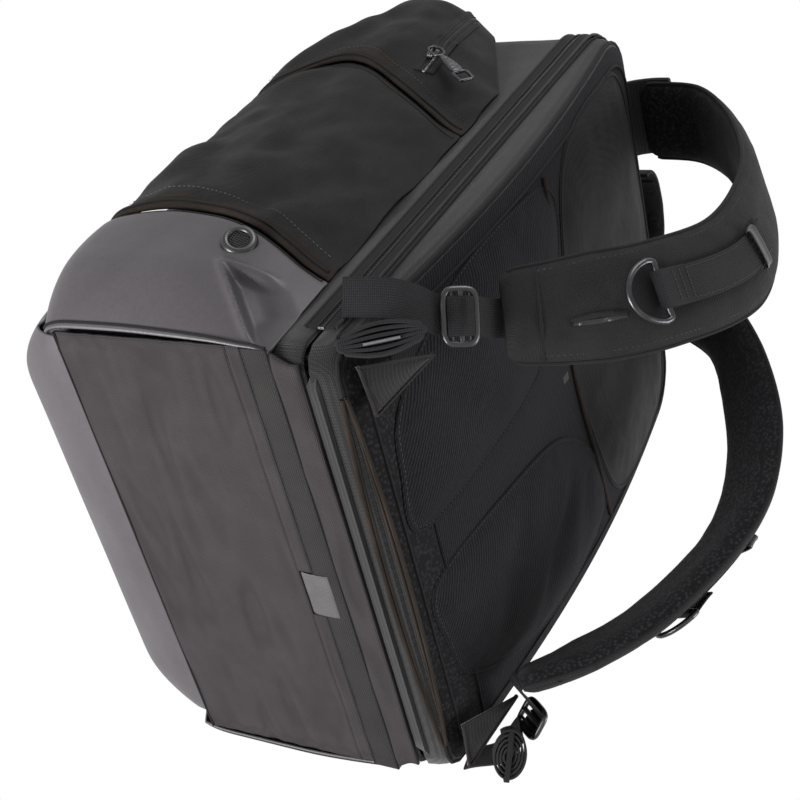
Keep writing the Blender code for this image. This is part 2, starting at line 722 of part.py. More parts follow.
def outer_sign(frames, path):
    """+1 when the face direction points away from the bag."""
    wide, face = frames[len(frames) // 2]
    return 1.0 if face.y > 0 else -1.0


def make_strap(tag, side):
    path, frames = strap_run(side)
    sign = outer_sign(frames, path)
    taper = [(min(1.0, 0.84 + 0.04 * (len(path) - 1 - i)), min(1.0, 0.5 + 0.17 * i)) for i in range(len(path))]
    web_top, clip_place, ring_place = WEB_PLACES[tag]
    band("shoulder_strap_" + tag, path, frames, STRAP_HALF_WIDTH, STRAP_THICK, "nylon", 0.008, taper)
    base = STRAP_THICK / 2 + 0.0034
    web = []
    web_frames = []
    for k in range(9):
        place = web_top + (ring_place - web_top) * k / 8
        point, wide, face, tangent = strap_point(path, frames, place, sign * base)
        web.append(point)
        web_frames.append((wide, face))
    bar_lift = base + BAR_RADIUS
    centre, wide, face, tangent = strap_point(path, frames, ring_place, sign * bar_lift)
    out = face * sign
    for k in range(1, 6):
        angle = math.radians(-90 + 36 * k)
        offset = tangent * math.cos(angle) * BAR_RADIUS + out * math.sin(angle) * BAR_RADIUS
        web.append(centre + offset)
        web_frames.append((wide, out * math.sin(angle) + tangent * math.cos(angle)))
    for back, drop in ((0.008, 0.0016), (0.022, 0.0030)):
        web.append(centre - tangent * back + out * (BAR_RADIUS - drop))
        web_frames.append((wide, out))
    sides = [(w, -f * sign if i < 9 else f) for i, (w, f) in enumerate(web_frames)]
    band("strap_webbing_" + tag, web, sides, WEB_WIDTH / 2, WEB_THICK, "webbing")
    make_d_ring(tag, centre, wide, tangent, out)
    clip, clip_wide, clip_face, clip_run = strap_point(path, frames, clip_place, sign * base)
    make_clip(tag, clip, clip_wide, clip_face * sign)


BAR_RADIUS = RING_ROD + 0.0014    # middle of the webbing round the D-ring's bar


def make_d_ring(tag, centre, wide, tangent, out):
    """Metal D-ring: the straight bar in the webbing loop, the bow towards the strap's foot."""
    half = 0.0185
    bow = 0.024
    points = [centre + wide * (-half + 2 * half * k / 4) for k in range(5)]
    for k in range(1, 12):
        angle = math.pi * k / 12
        points.append(centre + wide * half * 1.08 * math.cos(angle) + tangent * (0.002 + bow * math.sin(angle)))
    tube("d_ring_" + tag, points, RING_ROD, "gunmetal", cyclic=True, resolution=1)
    carry(axis_empty("d_ring_axis_" + tag, centre, frame_from(out, tangent)), *pick("d_ring_" + tag))


def make_clip(tag, place, wide, out):
    """Plastic clip that rides over the accessory webbing."""
    turn = frame_from(out, out.cross(wide))
    frame = Matrix.Translation(place) @ turn.to_4x4()
    clip = "webbing_clip_" + tag
    bm = bmesh.new()
    low = (-0.0160, -0.0060, -0.0008)
    high = (0.0160, 0.0060, 0.0052)
    size = [b - a for a, b in zip(low, high)]
    middle = [(a + b) / 2 for a, b in zip(low, high)]
    bmesh.ops.create_cube(bm, size=1.0, matrix=frame @ Matrix.Translation(middle) @ Matrix.Diagonal((*size, 1)))
    body = new_object(clip, mesh_from(bm, clip), "hard_plastic")
    bm = bmesh.new()
    matrix = frame @ Matrix.Translation((0, 0, -0.0010)) @ Matrix.Diagonal((0.0270, 0.030, 0.0070, 1))
    bmesh.ops.create_cube(bm, size=1.0, matrix=matrix)
    cut(body, bpy.data.objects.new(clip + "_slot", mesh_from(bm, clip + "_slot")))
    carry(axis_empty("webbing_clip_axis_" + tag, place, turn), body)


def make_lower_harness(tag, side):
    """Ladder-lock, the webbing from it to the body seam, and the folded spare webbing."""
    (centre, normal) = LOCK_RIGHT if side > 0 else LOCK_LEFT
    anchor = ANCHOR_RIGHT if side > 0 else ANCHOR_LEFT
    path, frames = strap_run(side)
    centre = Vector((side * centre[0], centre[1], centre[2]))
    normal = Vector((side * normal[0], normal[1], normal[2])).normalized()
    anchor = Vector((side * anchor[0], anchor[1], anchor[2]))
    along = (path[-1] - centre)
    along = (along - along.dot(normal) * normal).normalized()
    turn = frame_from(normal, along)
    frame = Matrix.Translation(centre) @ turn.to_4x4()
    lock = "ladder_lock_" + tag
    bm = bmesh.new()
    bmesh.ops.create_cube(bm, size=1.0, matrix=frame @ Matrix.Diagonal((0.038, 0.024, 0.0044, 1)))
    body = new_object(lock, mesh_from(bm, lock), "hard_plastic")
    for k, place in enumerate((-0.0055, 0.0055)):
        bm = bmesh.new()
        matrix = frame @ Matrix.Translation((0, place, 0)) @ Matrix.Diagonal((0.029, 0.0062, 0.03, 1))
        bmesh.ops.create_cube(bm, size=1.0, matrix=matrix)
        slot = lock + "_slot_" + str(k)
        cut(body, bpy.data.objects.new(slot, mesh_from(bm, slot)))
    carry(axis_empty("ladder_lock_axis_" + tag, centre, turn), body)
    wide = turn @ Vector((1, 0, 0))
    start = centre - along * 0.0130 - normal * 0.0036
    bend = start.lerp(anchor, 0.5) + Vector((side * 0.006, 0.005, 0))
    run = smooth_path([start, bend, anchor], 4)
    frames = band_frames(run, [0] * len(run), wide)
    band("adjust_webbing_" + tag, run, frames, WEB_WIDTH / 2, WEB_THICK, "webbing")


def make_spare_webbing():
    """Spare webbing: folded in a flat bundle on the right, rolled up on the left."""
    low = Vector((0.2000, 0.1520, 0.0150))
    high = Vector((0.1640, 0.1670, 0.0500))
    run = smooth_path([low, low.lerp(high, 0.5) + Vector((0.002, 0.002, 0)), high], 3)
    frames = band_frames(run, [0] * len(run), Vector((0.55, 0.60, -0.58)))
    band("spare_webbing_right", run, frames, WEB_WIDTH / 2, 0.013, "webbing", 0.003)
    centre = Vector((-0.162, 0.1600, 0.0185))
    axis = Vector((0.55, 0.45, -0.70)).normalized()
    across = axis.cross(Vector((0, 1, 0))).normalized()
    other = axis.cross(across)
    rings = []
    for depth in (-WEB_WIDTH / 2, WEB_WIDTH / 2):
        ring = []
        for k in range(16):
            angle = math.tau * k / 16
            ring.append(centre + axis * depth * 0.5 + across * 0.019 * math.cos(angle)
                        + other * 0.013 * math.sin(angle))
        rings.append(ring)
    loft("spare_webbing_left", rings, "webbing")


def make_joints():
    """Carriers of the door, the grab handle and the two harness sides."""
    door = axis_empty("door_axis", DOOR_AXIS)
    fixed = ["door_shell", "zip_tape_door", "upper_back_pad", "laptop_sleeve", "rain_cover_zip"]
    handle = axis_empty("grab_handle_axis", (0.0, HANDLE_DEPTH, HEIGHT + 0.0015), parent=door)
    carry(handle, *pick("grab_handle"))
    for tag, side in (("right", 1), ("left", -1)):
        fixed += ["lumbar_pad_" + tag, "strap_yoke_" + tag, "corner_wing_" + tag]
        root = Vector((side * STRAP_ROOT[0], STRAP_ROOT[1], STRAP_ROOT[2]))
        foot = ANCHOR_RIGHT if side > 0 else ANCHOR_LEFT
        foot = Vector((side * foot[0], foot[1], foot[2]))
        strap = axis_empty("strap_axis_" + tag, root, frame_from(foot - root, (0, 1, 0)), door)
        carry(strap, *pick("shoulder_strap_" + tag, "strap_webbing_" + tag, "adjust_webbing_" + tag,
                           "spare_webbing_" + tag))
        carry(strap, *pick("d_ring_axis_" + tag, "webbing_clip_axis_" + tag, "ladder_lock_axis_" + tag))
    carry(door, *pick(*fixed))


def build():
    make_tray()
    make_base()
    make_front_pocket()
    make_kick_panel()
    make_side_pockets()
    make_eyelets()
    make_zip_tape("zip_tape_tray", 0.0865, TRAY_REAR - 0.0003)
    make_zip_tape("zip_tape_door", DOOR_FRONT + 0.0003, 0.1075)
    make_interior()
    make_zips()
    make_door()
    make_back_pads()
    make_sleeve()
    make_rain_zip()
    make_top_fittings()
    make_wings()
    make_strap("right", 1)
    make_strap("left", -1)
    make_lower_harness("right", 1)
    make_lower_harness("left", -1)
    make_spare_webbing()
    make_joints()


clear_scene()
CASE = make_collection("drone_carrying_case")
CUTTERS = make_collection("cutters")
build()
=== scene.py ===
"""Drone carrying case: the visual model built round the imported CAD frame, in metres."""
import json
import math

import bmesh
import bpy
from mathutils import Matrix, Vector, noise

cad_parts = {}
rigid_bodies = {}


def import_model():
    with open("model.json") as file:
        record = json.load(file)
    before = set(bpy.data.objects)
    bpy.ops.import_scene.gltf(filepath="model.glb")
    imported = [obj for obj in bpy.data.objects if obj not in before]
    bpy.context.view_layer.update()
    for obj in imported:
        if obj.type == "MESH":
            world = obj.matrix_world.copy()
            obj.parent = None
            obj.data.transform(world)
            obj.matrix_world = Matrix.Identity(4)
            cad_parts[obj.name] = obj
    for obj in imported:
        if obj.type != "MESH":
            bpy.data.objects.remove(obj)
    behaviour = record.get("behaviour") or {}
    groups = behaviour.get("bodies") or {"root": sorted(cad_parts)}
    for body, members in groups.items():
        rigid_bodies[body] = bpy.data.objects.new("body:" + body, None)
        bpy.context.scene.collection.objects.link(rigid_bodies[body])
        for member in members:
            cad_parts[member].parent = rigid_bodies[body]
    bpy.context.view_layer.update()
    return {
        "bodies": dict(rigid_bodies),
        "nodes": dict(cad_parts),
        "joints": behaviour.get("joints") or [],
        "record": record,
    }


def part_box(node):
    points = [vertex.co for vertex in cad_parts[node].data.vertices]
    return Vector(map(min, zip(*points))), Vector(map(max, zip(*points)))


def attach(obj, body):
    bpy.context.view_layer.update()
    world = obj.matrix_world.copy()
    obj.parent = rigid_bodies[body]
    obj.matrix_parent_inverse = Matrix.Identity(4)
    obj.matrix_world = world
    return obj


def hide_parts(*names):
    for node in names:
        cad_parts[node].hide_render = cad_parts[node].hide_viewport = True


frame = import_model()
SIDES = (("right", 1), ("left", -1))

# ---- Dimensions (metres) ---------------------------------------------------------------------
# They follow the CAD source. TOP_BULGE and SIDE_ZIP_PLACE are the looks' own: the zip sits a little higher.
HEIGHT = 0.500
HALF_WIDTH = 0.182
TOP_CORNER = (0.032, 0.044)
BOTTOM_CORNER = 0.014
BODY_BASE = 0.0030
TRAY_FRONT = -0.138
DOOR_FRONT = 0.0990
BACK_FOOT = 0.121
BACK_BELLY = 0.018
BACK_LEAN = 0.004
POCKET_DEPTH = 0.021
KICK_TOP = 0.115
SIDE_BULGE = 0.030
TOP_BULGE = 0.012
POCKET_TOP = 0.508
MID_HEIGHT = 0.25                # centre that the broad faces close in on
POCKET_FOOT = KICK_TOP - 0.028   # lower edge of the front pocket
FRONT_ZIP_HEIGHT = 0.380
CRADLE_HEIGHT = 0.287            # centre of the foam cradle's round seat
WEB_WIDTH = 0.025
WEB_THICK = 0.0016
STRAP_HALF_WIDTH = 0.035
STRAP_THICK = 0.016
RING_ROD = 0.0020
BAR_RADIUS = RING_ROD + 0.0014
HANDLE_DEPTH = 0.1180

STRAP_STATIONS = {
    1: [(0.090, 0.130, 0.5065, 0), (0.092, 0.185, 0.492, 0), (0.096, 0.234, 0.428, -5),
        (0.101, 0.272, 0.342, -14), (0.110, 0.283, 0.248, -28), (0.130, 0.258, 0.172, -35),
        (0.142, 0.216, 0.128, -35), (0.149, 0.180, 0.104, -32)],
    -1: [(0.088, 0.130, 0.5060, 0), (0.090, 0.185, 0.470, -12), (0.093, 0.228, 0.398, -30),
         (0.098, 0.262, 0.305, -42), (0.106, 0.267, 0.220, -50), (0.119, 0.234, 0.138, -56),
         (0.126, 0.196, 0.090, -60), (0.131, 0.158, 0.058, -54)],
}
WEB_PLACES = {1: (10.8, 11.6, 15.4), -1: (11.0, 12.1, 14.4)}
LOCKS = {1: ((0.1640, 0.1640, 0.0800), (0.55, 0.60, -0.58)),
         -1: ((0.1590, 0.1640, 0.0520), (0.70, 0.62, 0.35))}
ANCHORS = {1: (0.1950, 0.1060, 0.0470), -1: (0.1920, 0.1160, 0.0300)}
FLANK = [(0.00, 0.00), (0.02, 0.45), (0.08, 0.82), (0.18, 0.96), (0.38, 1.00), (0.58, 0.94),
         (0.76, 0.66), (0.90, 0.28), (1.00, 0.00)]
CUP_LINE = [(-0.130, 0.108), (-0.065, 0.121), (0.000, 0.112), (0.030, 0.099), (0.075, 0.078)]
PANEL_LINE = [(-0.130, 0.310), (-0.065, 0.360), (-0.035, 0.356), (0.015, 0.320), (0.075, 0.284)]
EYELET_PLACE = (0.010, 0.086)
SIDE_ZIP_PLACE = (0.016, 0.372)
UPPER_PAD = [(0.150, 0.315), (0.160, 0.400), (0.135, 0.462), (0.0, 0.474), (-0.135, 0.462),
             (-0.160, 0.400), (-0.150, 0.315), (-0.080, 0.283), (0.0, 0.270), (0.080, 0.283)]
LUMBAR_PAD = [(0.026, 0.040), (0.024, 0.140), (0.040, 0.220), (0.090, 0.268), (0.140, 0.276),
              (0.158, 0.230), (0.156, 0.130), (0.118, 0.052), (0.075, 0.036)]


# ---- Materials -------------------------------------------------------------------------------
class Shader:
    """Small helper that wires the nodes of one material."""

    def __init__(self, name, colour, rough, metallic=0.0):
        self.material = bpy.data.materials.new(name)
        self.material.use_nodes = True
        self.tree = self.material.node_tree
        self.bsdf = self.tree.nodes["Principled BSDF"]
        self.bsdf.inputs["Base Color"].default_value = (*colour, 1.0)
        self.bsdf.inputs["Roughness"].default_value = rough
        self.bsdf.inputs["Metallic"].default_value = metallic
        self.colour = colour
        self.where = self.tree.nodes.new("ShaderNodeTexCoord").outputs["Object"]
        self.height = None

    def on_ribbon(self):
        """Take coordinates along and across a ribbon, in metres."""
        node = self.tree.nodes.new("ShaderNodeUVMap")
        node.uv_map = "weave"
        self.where = node.outputs["UV"]
        return self

    def turned(self, angles):
        node = self.tree.nodes.new("ShaderNodeMapping")
        node.inputs["Rotation"].default_value = [math.radians(a) for a in angles]
        self.tree.links.new(self.where, node.inputs["Vector"])
        self.where = node.outputs["Vector"]
        return self

    def noise(self, scale, detail=3.0, stretch=None):
        node = self.tree.nodes.new("ShaderNodeTexNoise")
        node.inputs["Scale"].default_value = scale
        node.inputs["Detail"].default_value = detail
        source = self.where
        if stretch:
            mapping = self.tree.nodes.new("ShaderNodeMapping")
            mapping.inputs["Scale"].default_value = stretch
            self.tree.links.new(source, mapping.inputs["Vector"])
            source = mapping.outputs["Vector"]
        self.tree.links.new(source, node.inputs["Vector"])
        return node.outputs["Fac"]

    def cells(self, scale):
        node = self.tree.nodes.new("ShaderNodeTexVoronoi")
        node.inputs["Scale"].default_value = scale
        self.tree.links.new(self.where, node.inputs["Vector"])
        return node.outputs["Distance"]

    def wave(self, direction, period, distortion=0.0):
        node = self.tree.nodes.new("ShaderNodeTexWave")
        node.wave_type = "BANDS"
        node.bands_direction = direction
        node.inputs["Scale"].default_value = math.tau / 20.0 / period
        node.inputs["Distortion"].default_value = distortion
        node.inputs["Detail"].default_value = 1.0
        self.tree.links.new(self.where, node.inputs["Vector"])
        return node.outputs["Fac"]

    def math(self, operation, first, second):
        node = self.tree.nodes.new("ShaderNodeMath")
        node.operation = operation
        for slot, value in zip(node.inputs, (first, second)):
            if isinstance(value, (int, float)):
                slot.default_value = value
            else:
                self.tree.links.new(value, slot)
        return node.outputs["Value"]

    def ramp(self, source, low, high, start=0.0, end=1.0):
        node = self.tree.nodes.new("ShaderNodeMapRange")
        node.inputs["From Min"].default_value = start
        node.inputs["From Max"].default_value = end
        node.inputs["To Min"].default_value = low
        node.inputs["To Max"].default_value = high
        self.tree.links.new(source, node.inputs["Value"])
        return node.outputs["Result"]

    def shade(self, source, low, high, start=0.3, end=0.7):
        """Vary the base colour between two multiples of itself."""
        mix = self.tree.nodes.new("ShaderNodeMix")
        mix.data_type = "RGBA"
        known = self.bsdf.inputs["Base Color"]
        factor = self.ramp(source, 0.0, 1.0, start, end)
        self.tree.links.new(factor, mix.inputs["Factor"])
        if known.is_linked:
            before = known.links[0].from_socket
            mix.blend_type = "MULTIPLY"
            mix.inputs["Factor"].default_value = 1.0
            dark = self.tree.nodes.new("ShaderNodeMix")
            dark.data_type = "RGBA"
            dark.inputs["A"].default_value = (low, low, low, 1.0)
            dark.inputs["B"].default_value = (high, high, high, 1.0)
            self.tree.links.new(factor, dark.inputs["Factor"])
            self.tree.links.remove(mix.inputs["Factor"].links[0])
            self.tree.links.new(before, mix.inputs["A"])
            self.tree.links.new(dark.outputs["Result"], mix.inputs["B"])
        else:
            mix.inputs["A"].default_value = (*[c * low for c in self.colour], 1.0)
            mix.inputs["B"].default_value = (*[c * high for c in self.colour], 1.0)
        self.tree.links.new(mix.outputs["Result"], known)
        return self

    def rough(self, source, low, high):
        self.tree.links.new(self.ramp(source, low, high), self.bsdf.inputs["Roughness"])
        return self

    def bump(self, source, depth, strength=1.0):
        node = self.tree.nodes.new("ShaderNodeBump")
        node.inputs["Distance"].default_value = depth
        node.inputs["Strength"].default_value = strength
        self.tree.links.new(source, node.inputs["Height"])
        known = self.bsdf.inputs["Normal"]
        if known.is_linked:
            self.tree.links.new(known.links[0].from_socket, node.inputs["Normal"])
        self.tree.links.new(node.outputs["Normal"], known)
        return self

    def sheen(self, weight, rough=0.5, tint=(1.0, 1.0, 1.0)):
        self.bsdf.inputs["Sheen Weight"].default_value = weight
        self.bsdf.inputs["Sheen Roughness"].default_value = rough
        self.bsdf.inputs["Sheen Tint"].default_value = (*tint, 1.0)
        return self

    def spec(self, level):
        self.bsdf.inputs["Specular IOR Level"].default_value = level
        return self


def cloth_weave(shader, period):
    """Plain weave on any of the three main planes: crossed bands."""
    bands = [shader.wave(axis, period) for axis in "XYZ"]
    pairs = [shader.math("MULTIPLY", bands[i], bands[(i + 1) % 3]) for i in range(3)]
    return shader.math("ADD", shader.math("ADD", pairs[0], pairs[1]), pairs[2])


def make_fabric(name, colour, period, rough=0.85, depth=0.00025, sheen=0.15, patchy=(0.82, 1.18)):
    shader = Shader(name, colour, rough)
    weave = cloth_weave(shader, period)
    shader.shade(shader.noise(28.0, 4.0), *patchy)
    shader.shade(weave, 0.72, 1.25, 0.3, 1.6)
    shader.rough(shader.noise(60.0), rough - 0.12, min(rough + 0.10, 1.0))
    shader.bump(shader.noise(45.0, 5.0), 0.0016, 0.35)
    shader.bump(weave, depth, 0.7)
    return shader.sheen(sheen).spec(0.11).material


def make_leather(name, colour):
    shader = Shader(name, colour, 0.42)
    grain = shader.cells(900.0)
    shader.shade(shader.noise(14.0, 4.0), 0.88, 1.12)
    shader.shade(shader.noise(300.0, 2.0), 0.93, 1.06)
    shader.rough(shader.noise(40.0, 4.0), 0.36, 0.52)
    shader.bump(shader.noise(30.0, 4.0), 0.0018, 0.25)
    shader.bump(grain, 0.00012, 0.5)
    return shader.spec(0.30).material


def make_webbing(name, colour, pitch=0.0016):
    """Narrow woven band: herringbone ribs along it."""
    shader = Shader(name, colour, 0.7).on_ribbon()
    across = shader.wave("X", pitch)
    along = shader.wave("Y", pitch * 0.8, 0.6)
    weave = shader.math("MULTIPLY", across, along)
    shader.shade(shader.noise(35.0, 3.0), 0.85, 1.2)
    shader.shade(weave, 0.6, 1.5, 0.0, 0.8)
    shader.bump(weave, 0.0005, 0.8)
    return shader.sheen(0.01).spec(0.13).material


def make_ribbed_mesh(name, colour):
    """Spacer mesh of the back: fine ribs with small pores between them."""
    shader = Shader(name, colour, 0.9).turned((0, 35, 0))
    ribs = shader.wave("Z", 0.0024, 0.15)
    pores = shader.cells(620.0)
    shader.shade(ribs, 0.65, 1.35, 0.15, 0.85)
    shader.shade(pores, 0.55, 1.15, 0.1, 0.6)
    shader.bump(ribs, 0.0006, 0.8)
    shader.bump(pores, 0.0003, 0.5)
    return shader.sheen(0.01).spec(0.08).material


def make_dotted_mesh(name, colour):
    shader = Shader(name, colour, 0.85)
    dots = shader.cells(330.0)
    shader.shade(dots, 1.9, 0.35, 0.15, 0.55)
    shader.bump(dots, 0.0010, -0.8)
    return shader.sheen(0.01).spec(0.10).material


def make_metal(name, colour, rough=0.32):
    shader = Shader(name, colour, rough, 0.95)
    shader.shade(shader.noise(120.0, 4.0), 0.75, 1.2)
    shader.rough(shader.noise(240.0, 4.0), rough - 0.08, rough + 0.14)
    shader.bump(shader.noise(500.0, 2.0), 0.0001, 0.3)
    return shader.material


def make_plastic(name, colour, rough=0.38):
    shader = Shader(name, colour, rough)
    shader.shade(shader.noise(90.0, 3.0), 0.85, 1.2)
    shader.rough(shader.noise(180.0, 4.0), rough - 0.08, rough + 0.12)
    shader.bump(shader.cells(1500.0), 0.00006, 0.5)
    return shader.spec(0.5).material


def make_foam(name, colour):
    shader = Shader(name, colour, 0.95)
    shader.shade(shader.noise(700.0, 3.0), 0.75, 1.25)
    shader.bump(shader.cells(1100.0), 0.0004, 0.7)
    return shader.sheen(0.4).spec(0.15).material


MATS = {
    "nylon": make_fabric("nylon", (0.0046, 0.0045, 0.0050), 0.0011),
    "panel": make_fabric("panel", (0.0044, 0.0042, 0.0046), 0.0009, 0.66, 0.00018, 0.01, (0.6, 1.5)),
    "base": make_fabric("base", (0.0180, 0.0155, 0.0162), 0.0013, 0.80, 0.0003, 0.01, (0.88, 1.14)),
    "binding": make_fabric("binding", (0.0105, 0.0070, 0.0048), 0.0010, 0.75, 0.0002, 0.01, (0.6, 1.35)),
    "piping": make_fabric("piping", (0.0100, 0.0088, 0.0082), 0.0010, 0.55, 0.0002, 0.01),
    "lining": make_fabric("lining", (0.0700, 0.0680, 0.0710), 0.0022, 0.95, 0.0006, 0.20),
    "leather": make_leather("leather", (0.0310, 0.0272, 0.0305)),
    "strip": make_webbing("strip", (0.0105, 0.0092, 0.0092)),
    "webbing": make_webbing("webbing", (0.0062, 0.0060, 0.0070)),
    "tape": make_webbing("tape", (0.0036, 0.0035, 0.0040), 0.0010),
    "ribs": make_ribbed_mesh("ribs", (0.0070, 0.0068, 0.0082)),
    "dots": make_dotted_mesh("dots", (0.0058, 0.0058, 0.0070)),
    "strap": make_fabric("strap", (0.0052, 0.0051, 0.0054), 0.0010, 0.68, 0.0002, 0.01, (0.7, 1.35)),
    "metal": make_metal("metal", (0.045, 0.044, 0.047), 0.28),
    "plastic": make_plastic("plastic", (0.0045, 0.0045, 0.0050), 0.32),
    "coil": make_plastic("coil", (0.0030, 0.0030, 0.0034), 0.3),
    "label": make_webbing("label", (0.0600, 0.0560, 0.0575), 0.0012),
    "thread": make_plastic("thread", (0.0110, 0.0105, 0.0115), 0.6),
    # elastic: pale grey band, its lightness partly its own colour and partly a painted highlight on the spare
    # bundle
    "elastic": make_webbing("elastic", (0.0800, 0.0800, 0.0840), 0.0014),
    "foam": make_foam("foam", (0.0350, 0.0350, 0.0375)),
}


# ---- Mesh helpers ----------------------------------------------------------------------------
SHARP_ANGLE = math.radians(50)


def circle(count):
    """Cosine and sine of equally spaced angles, going round once."""
    return [(math.cos(math.tau * k / count), math.sin(math.tau * k / count)) for k in range(count)]


def rounded(value, power):
    """Power that keeps the sign: turns a circle into a squarer, rounded loop."""
    return math.copysign(abs(value) ** power, value)


def smoothstep(value, low=0.0, high=1.0):
    share = min(max((value - low) / (high - low), 0.0), 1.0)
    return share * share * (3 - 2 * share)


def smooth_path(points, steps, closed=False):
    """Catmull-Rom curve through the points, with equal steps in each span."""
    values = [Vector(p) for p in points]
    if closed:
        ends = [values[-1]] + values + [values[0], values[1]]
    else:
        ends = [2 * values[0] - values[1]] + values + [2 * values[-1] - values[-2]]
    path = []
    for i in range(1, len(ends) - 2):
        a, b, c, d = ends[i - 1:i + 3]
        for k in range(steps):
            s = k / steps
            path.append(0.5 * (2 * b + (c - a) * s + (2 * a - 5 * b + 4 * c - d) * s**2
                               + (3 * b - a - 3 * c + d) * s**3))
    if not closed:
        path.append(ends[-2])
    return path


def resample(points, count, closed=False):
    """Points at equal spacing along a polyline."""
    line = [Vector(p) for p in points]
    if closed:
        line = line + [line[0]]
    marks = [0.0]
    for a, b in zip(line, line[1:]):
        marks.append(marks[-1] + (b - a).length)
    found = []
    last = count if closed else count - 1
    j = 0
    for i in range(count):
        target = marks[-1] * i / last
        while j < len(marks) - 2 and marks[j + 1] < target:
            j += 1
        span = max(marks[j + 1] - marks[j], 1e-9)
        found.append(line[j].lerp(line[j + 1], min((target - marks[j]) / span, 1.0)))
    return found


def directions(path):
    last = len(path) - 1
    return [(path[min(i + 1, last)] - path[max(i - 1, 0)]).normalized() for i in range(last + 1)]


def band_frames(path, twists, across):
    """Width and face directions along a band, twisted about its own run."""
    frames = []
    for tangent, twist in zip(directions(path), twists):
        wide = (across - across.dot(tangent) * tangent).normalized()
        face = wide.cross(tangent)
        angle = math.radians(twist)
        frames.append((math.cos(angle) * wide + math.sin(angle) * face,
                       math.cos(angle) * face - math.sin(angle) * wide))
    return frames


def frame_from(out, up):
    """Rotation whose local Z is out and whose local Y is as near up as it can be."""
    z = Vector(out).normalized()
    y = (Vector(up) - Vector(up).dot(z) * z).normalized()
    return Matrix((y.cross(z), y, z)).transposed()


def add_wall(piece, thickness):
    """Thicken a skin inwards."""
    shell = piece.modifiers.new("wall", "SOLIDIFY")
    shell.thickness = thickness
    shell.offset = -1.0
    return shell


def add_piece(name, mesh, body, materials, replaces=(), level=0, wall=0.0):
    """Make one visual piece: thicken and subdivide it, shade it and let it ride on its body."""
    piece = bpy.data.objects.new(name, mesh)
    bpy.context.scene.collection.objects.link(piece)
    for material in materials if isinstance(materials, (list, tuple)) else [materials]:
        mesh.materials.append(MATS[material])
    mesh.shade_smooth()
    mesh.set_sharp_from_angle(angle=SHARP_ANGLE)
    if wall:
        shell = add_wall(piece, wall)
        shell.use_even_offset = False
        if len(mesh.materials) > 1:
            shell.material_offset = 1
            shell.material_offset_rim = 1
    if level:
        finer = piece.modifiers.new("smooth", "SUBSURF")
        finer.levels = level
        finer.render_levels = level
    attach(piece, body)
    if replaces:
        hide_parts(*replaces)
    return piece


def grid_mesh(name, rows, wrap_u=False, wrap_v=False, cap=False, pick=None, close=False):
    """Skin rows of points; the UV map holds metres along each row and across the rows."""
    bm = bmesh.new()
    uv = bm.loops.layers.uv.new("weave")
    made = [[bm.verts.new(p) for p in row] for row in rows]
    count = len(rows[0])
    along = [0.0]
    middle = rows[len(rows) // 2]
    for i in range(count):
        along.append(along[-1] + (Vector(middle[(i + 1) % count]) - Vector(middle[i])).length)
    down = [0.0]
    for a, b in zip(rows, rows[1:] + [rows[0]]):
        down.append(down[-1] + (Vector(b[count // 2]) - Vector(a[count // 2])).length)
    for r in range(len(rows) if wrap_v else len(rows) - 1):
        below = made[r]
        above = made[(r + 1) % len(rows)]
        for i in range(count if wrap_u else count - 1):
            j = (i + 1) % count
            face = bm.faces.new((below[i], below[j], above[j], above[i]))
            corners = ((i, r), (i + 1, r), (i + 1, r + 1), (i, r + 1))
            for loop, (ci, cr) in zip(face.loops, corners):
                loop[uv].uv = (along[ci], down[cr])
            if pick:
                face.material_index = pick(face.calc_center_median())
    if cap:
        bm.faces.new(made[0][::-1])
    if cap or close:
        bm.faces.new(made[-1])
    bmesh.ops.recalc_face_normals(bm, faces=bm.faces)
    mesh = bpy.data.meshes.new(name)
    bm.to_mesh(mesh)
    bm.free()
    return mesh


def face_outwards(mesh, towards):
    """Turn an open sheet so that its faces look the given way."""
    total = sum((p.normal * p.area for p in mesh.polygons), Vector())
    if total.dot(Vector(towards)) < 0:
        mesh.flip_normals()
    return mesh


def section_rect(half, depth, corner, steps=2):
    """Rounded flat section as (across, out) pairs, going round once."""
    corner = min(corner, depth * 0.98, half * 0.98)
    points = []
    for cx, cy, start in ((half - corner, depth - corner, 0), (-half + corner, depth - corner, 90),
                          (-half + corner, -depth + corner, 180), (half - corner, -depth + corner, 270)):
        for k in range(steps + 1):
            angle = math.radians(start + 90 * k / steps)
            points.append((cx + corner * math.cos(angle), cy + corner * math.sin(angle)))
    return points


WEB_SECTION = section_rect(WEB_WIDTH / 2, WEB_THICK / 2, 0.0006)


def ribbon_mesh(name, path, frames, section, scale=None, closed=False):
    """Sweep a section along a path; UV runs across by section length and along by path length."""
    rows = []
    for i, (middle, (wide, face)) in enumerate(zip(path, frames)):
        across, out = scale[i] if scale else (1.0, 1.0)
        rows.append([middle + wide * (u * across) + face * (v * out) for u, v in section])
    return grid_mesh(name, rows, wrap_u=True, wrap_v=closed, cap=not closed)


def tube_mesh(name, path, radius, sides=8, closed=False):
    """Round cord or piping along a path, its frame carried along without twist."""
    path = [Vector(p) for p in path]
    tangents = directions(path)
    if closed:
        count = len(path)
        tangents = [(path[(i + 1) % count] - path[i - 1]).normalized() for i in range(count)]
    wide = tangents[0].orthogonal().normalized()
    rows = []
    for point, tangent in zip(path, tangents):
        wide = (wide - wide.dot(tangent) * tangent).normalized()
        other = tangent.cross(wide)
        rows.append([point + (wide * c + other * s) * radius for c, s in circle(sides)])
    return grid_mesh(name, rows, wrap_u=True, wrap_v=closed, cap=not closed)


def join_meshes(name, meshes):
    """One mesh holding all the given ones, which are removed."""
    bm = bmesh.new()
    for mesh in meshes:
        bm.from_mesh(mesh)
        bpy.data.meshes.remove(mesh)
    whole = bpy.data.meshes.new(name)
    bm.to_mesh(whole)
    bm.free()
    return whole


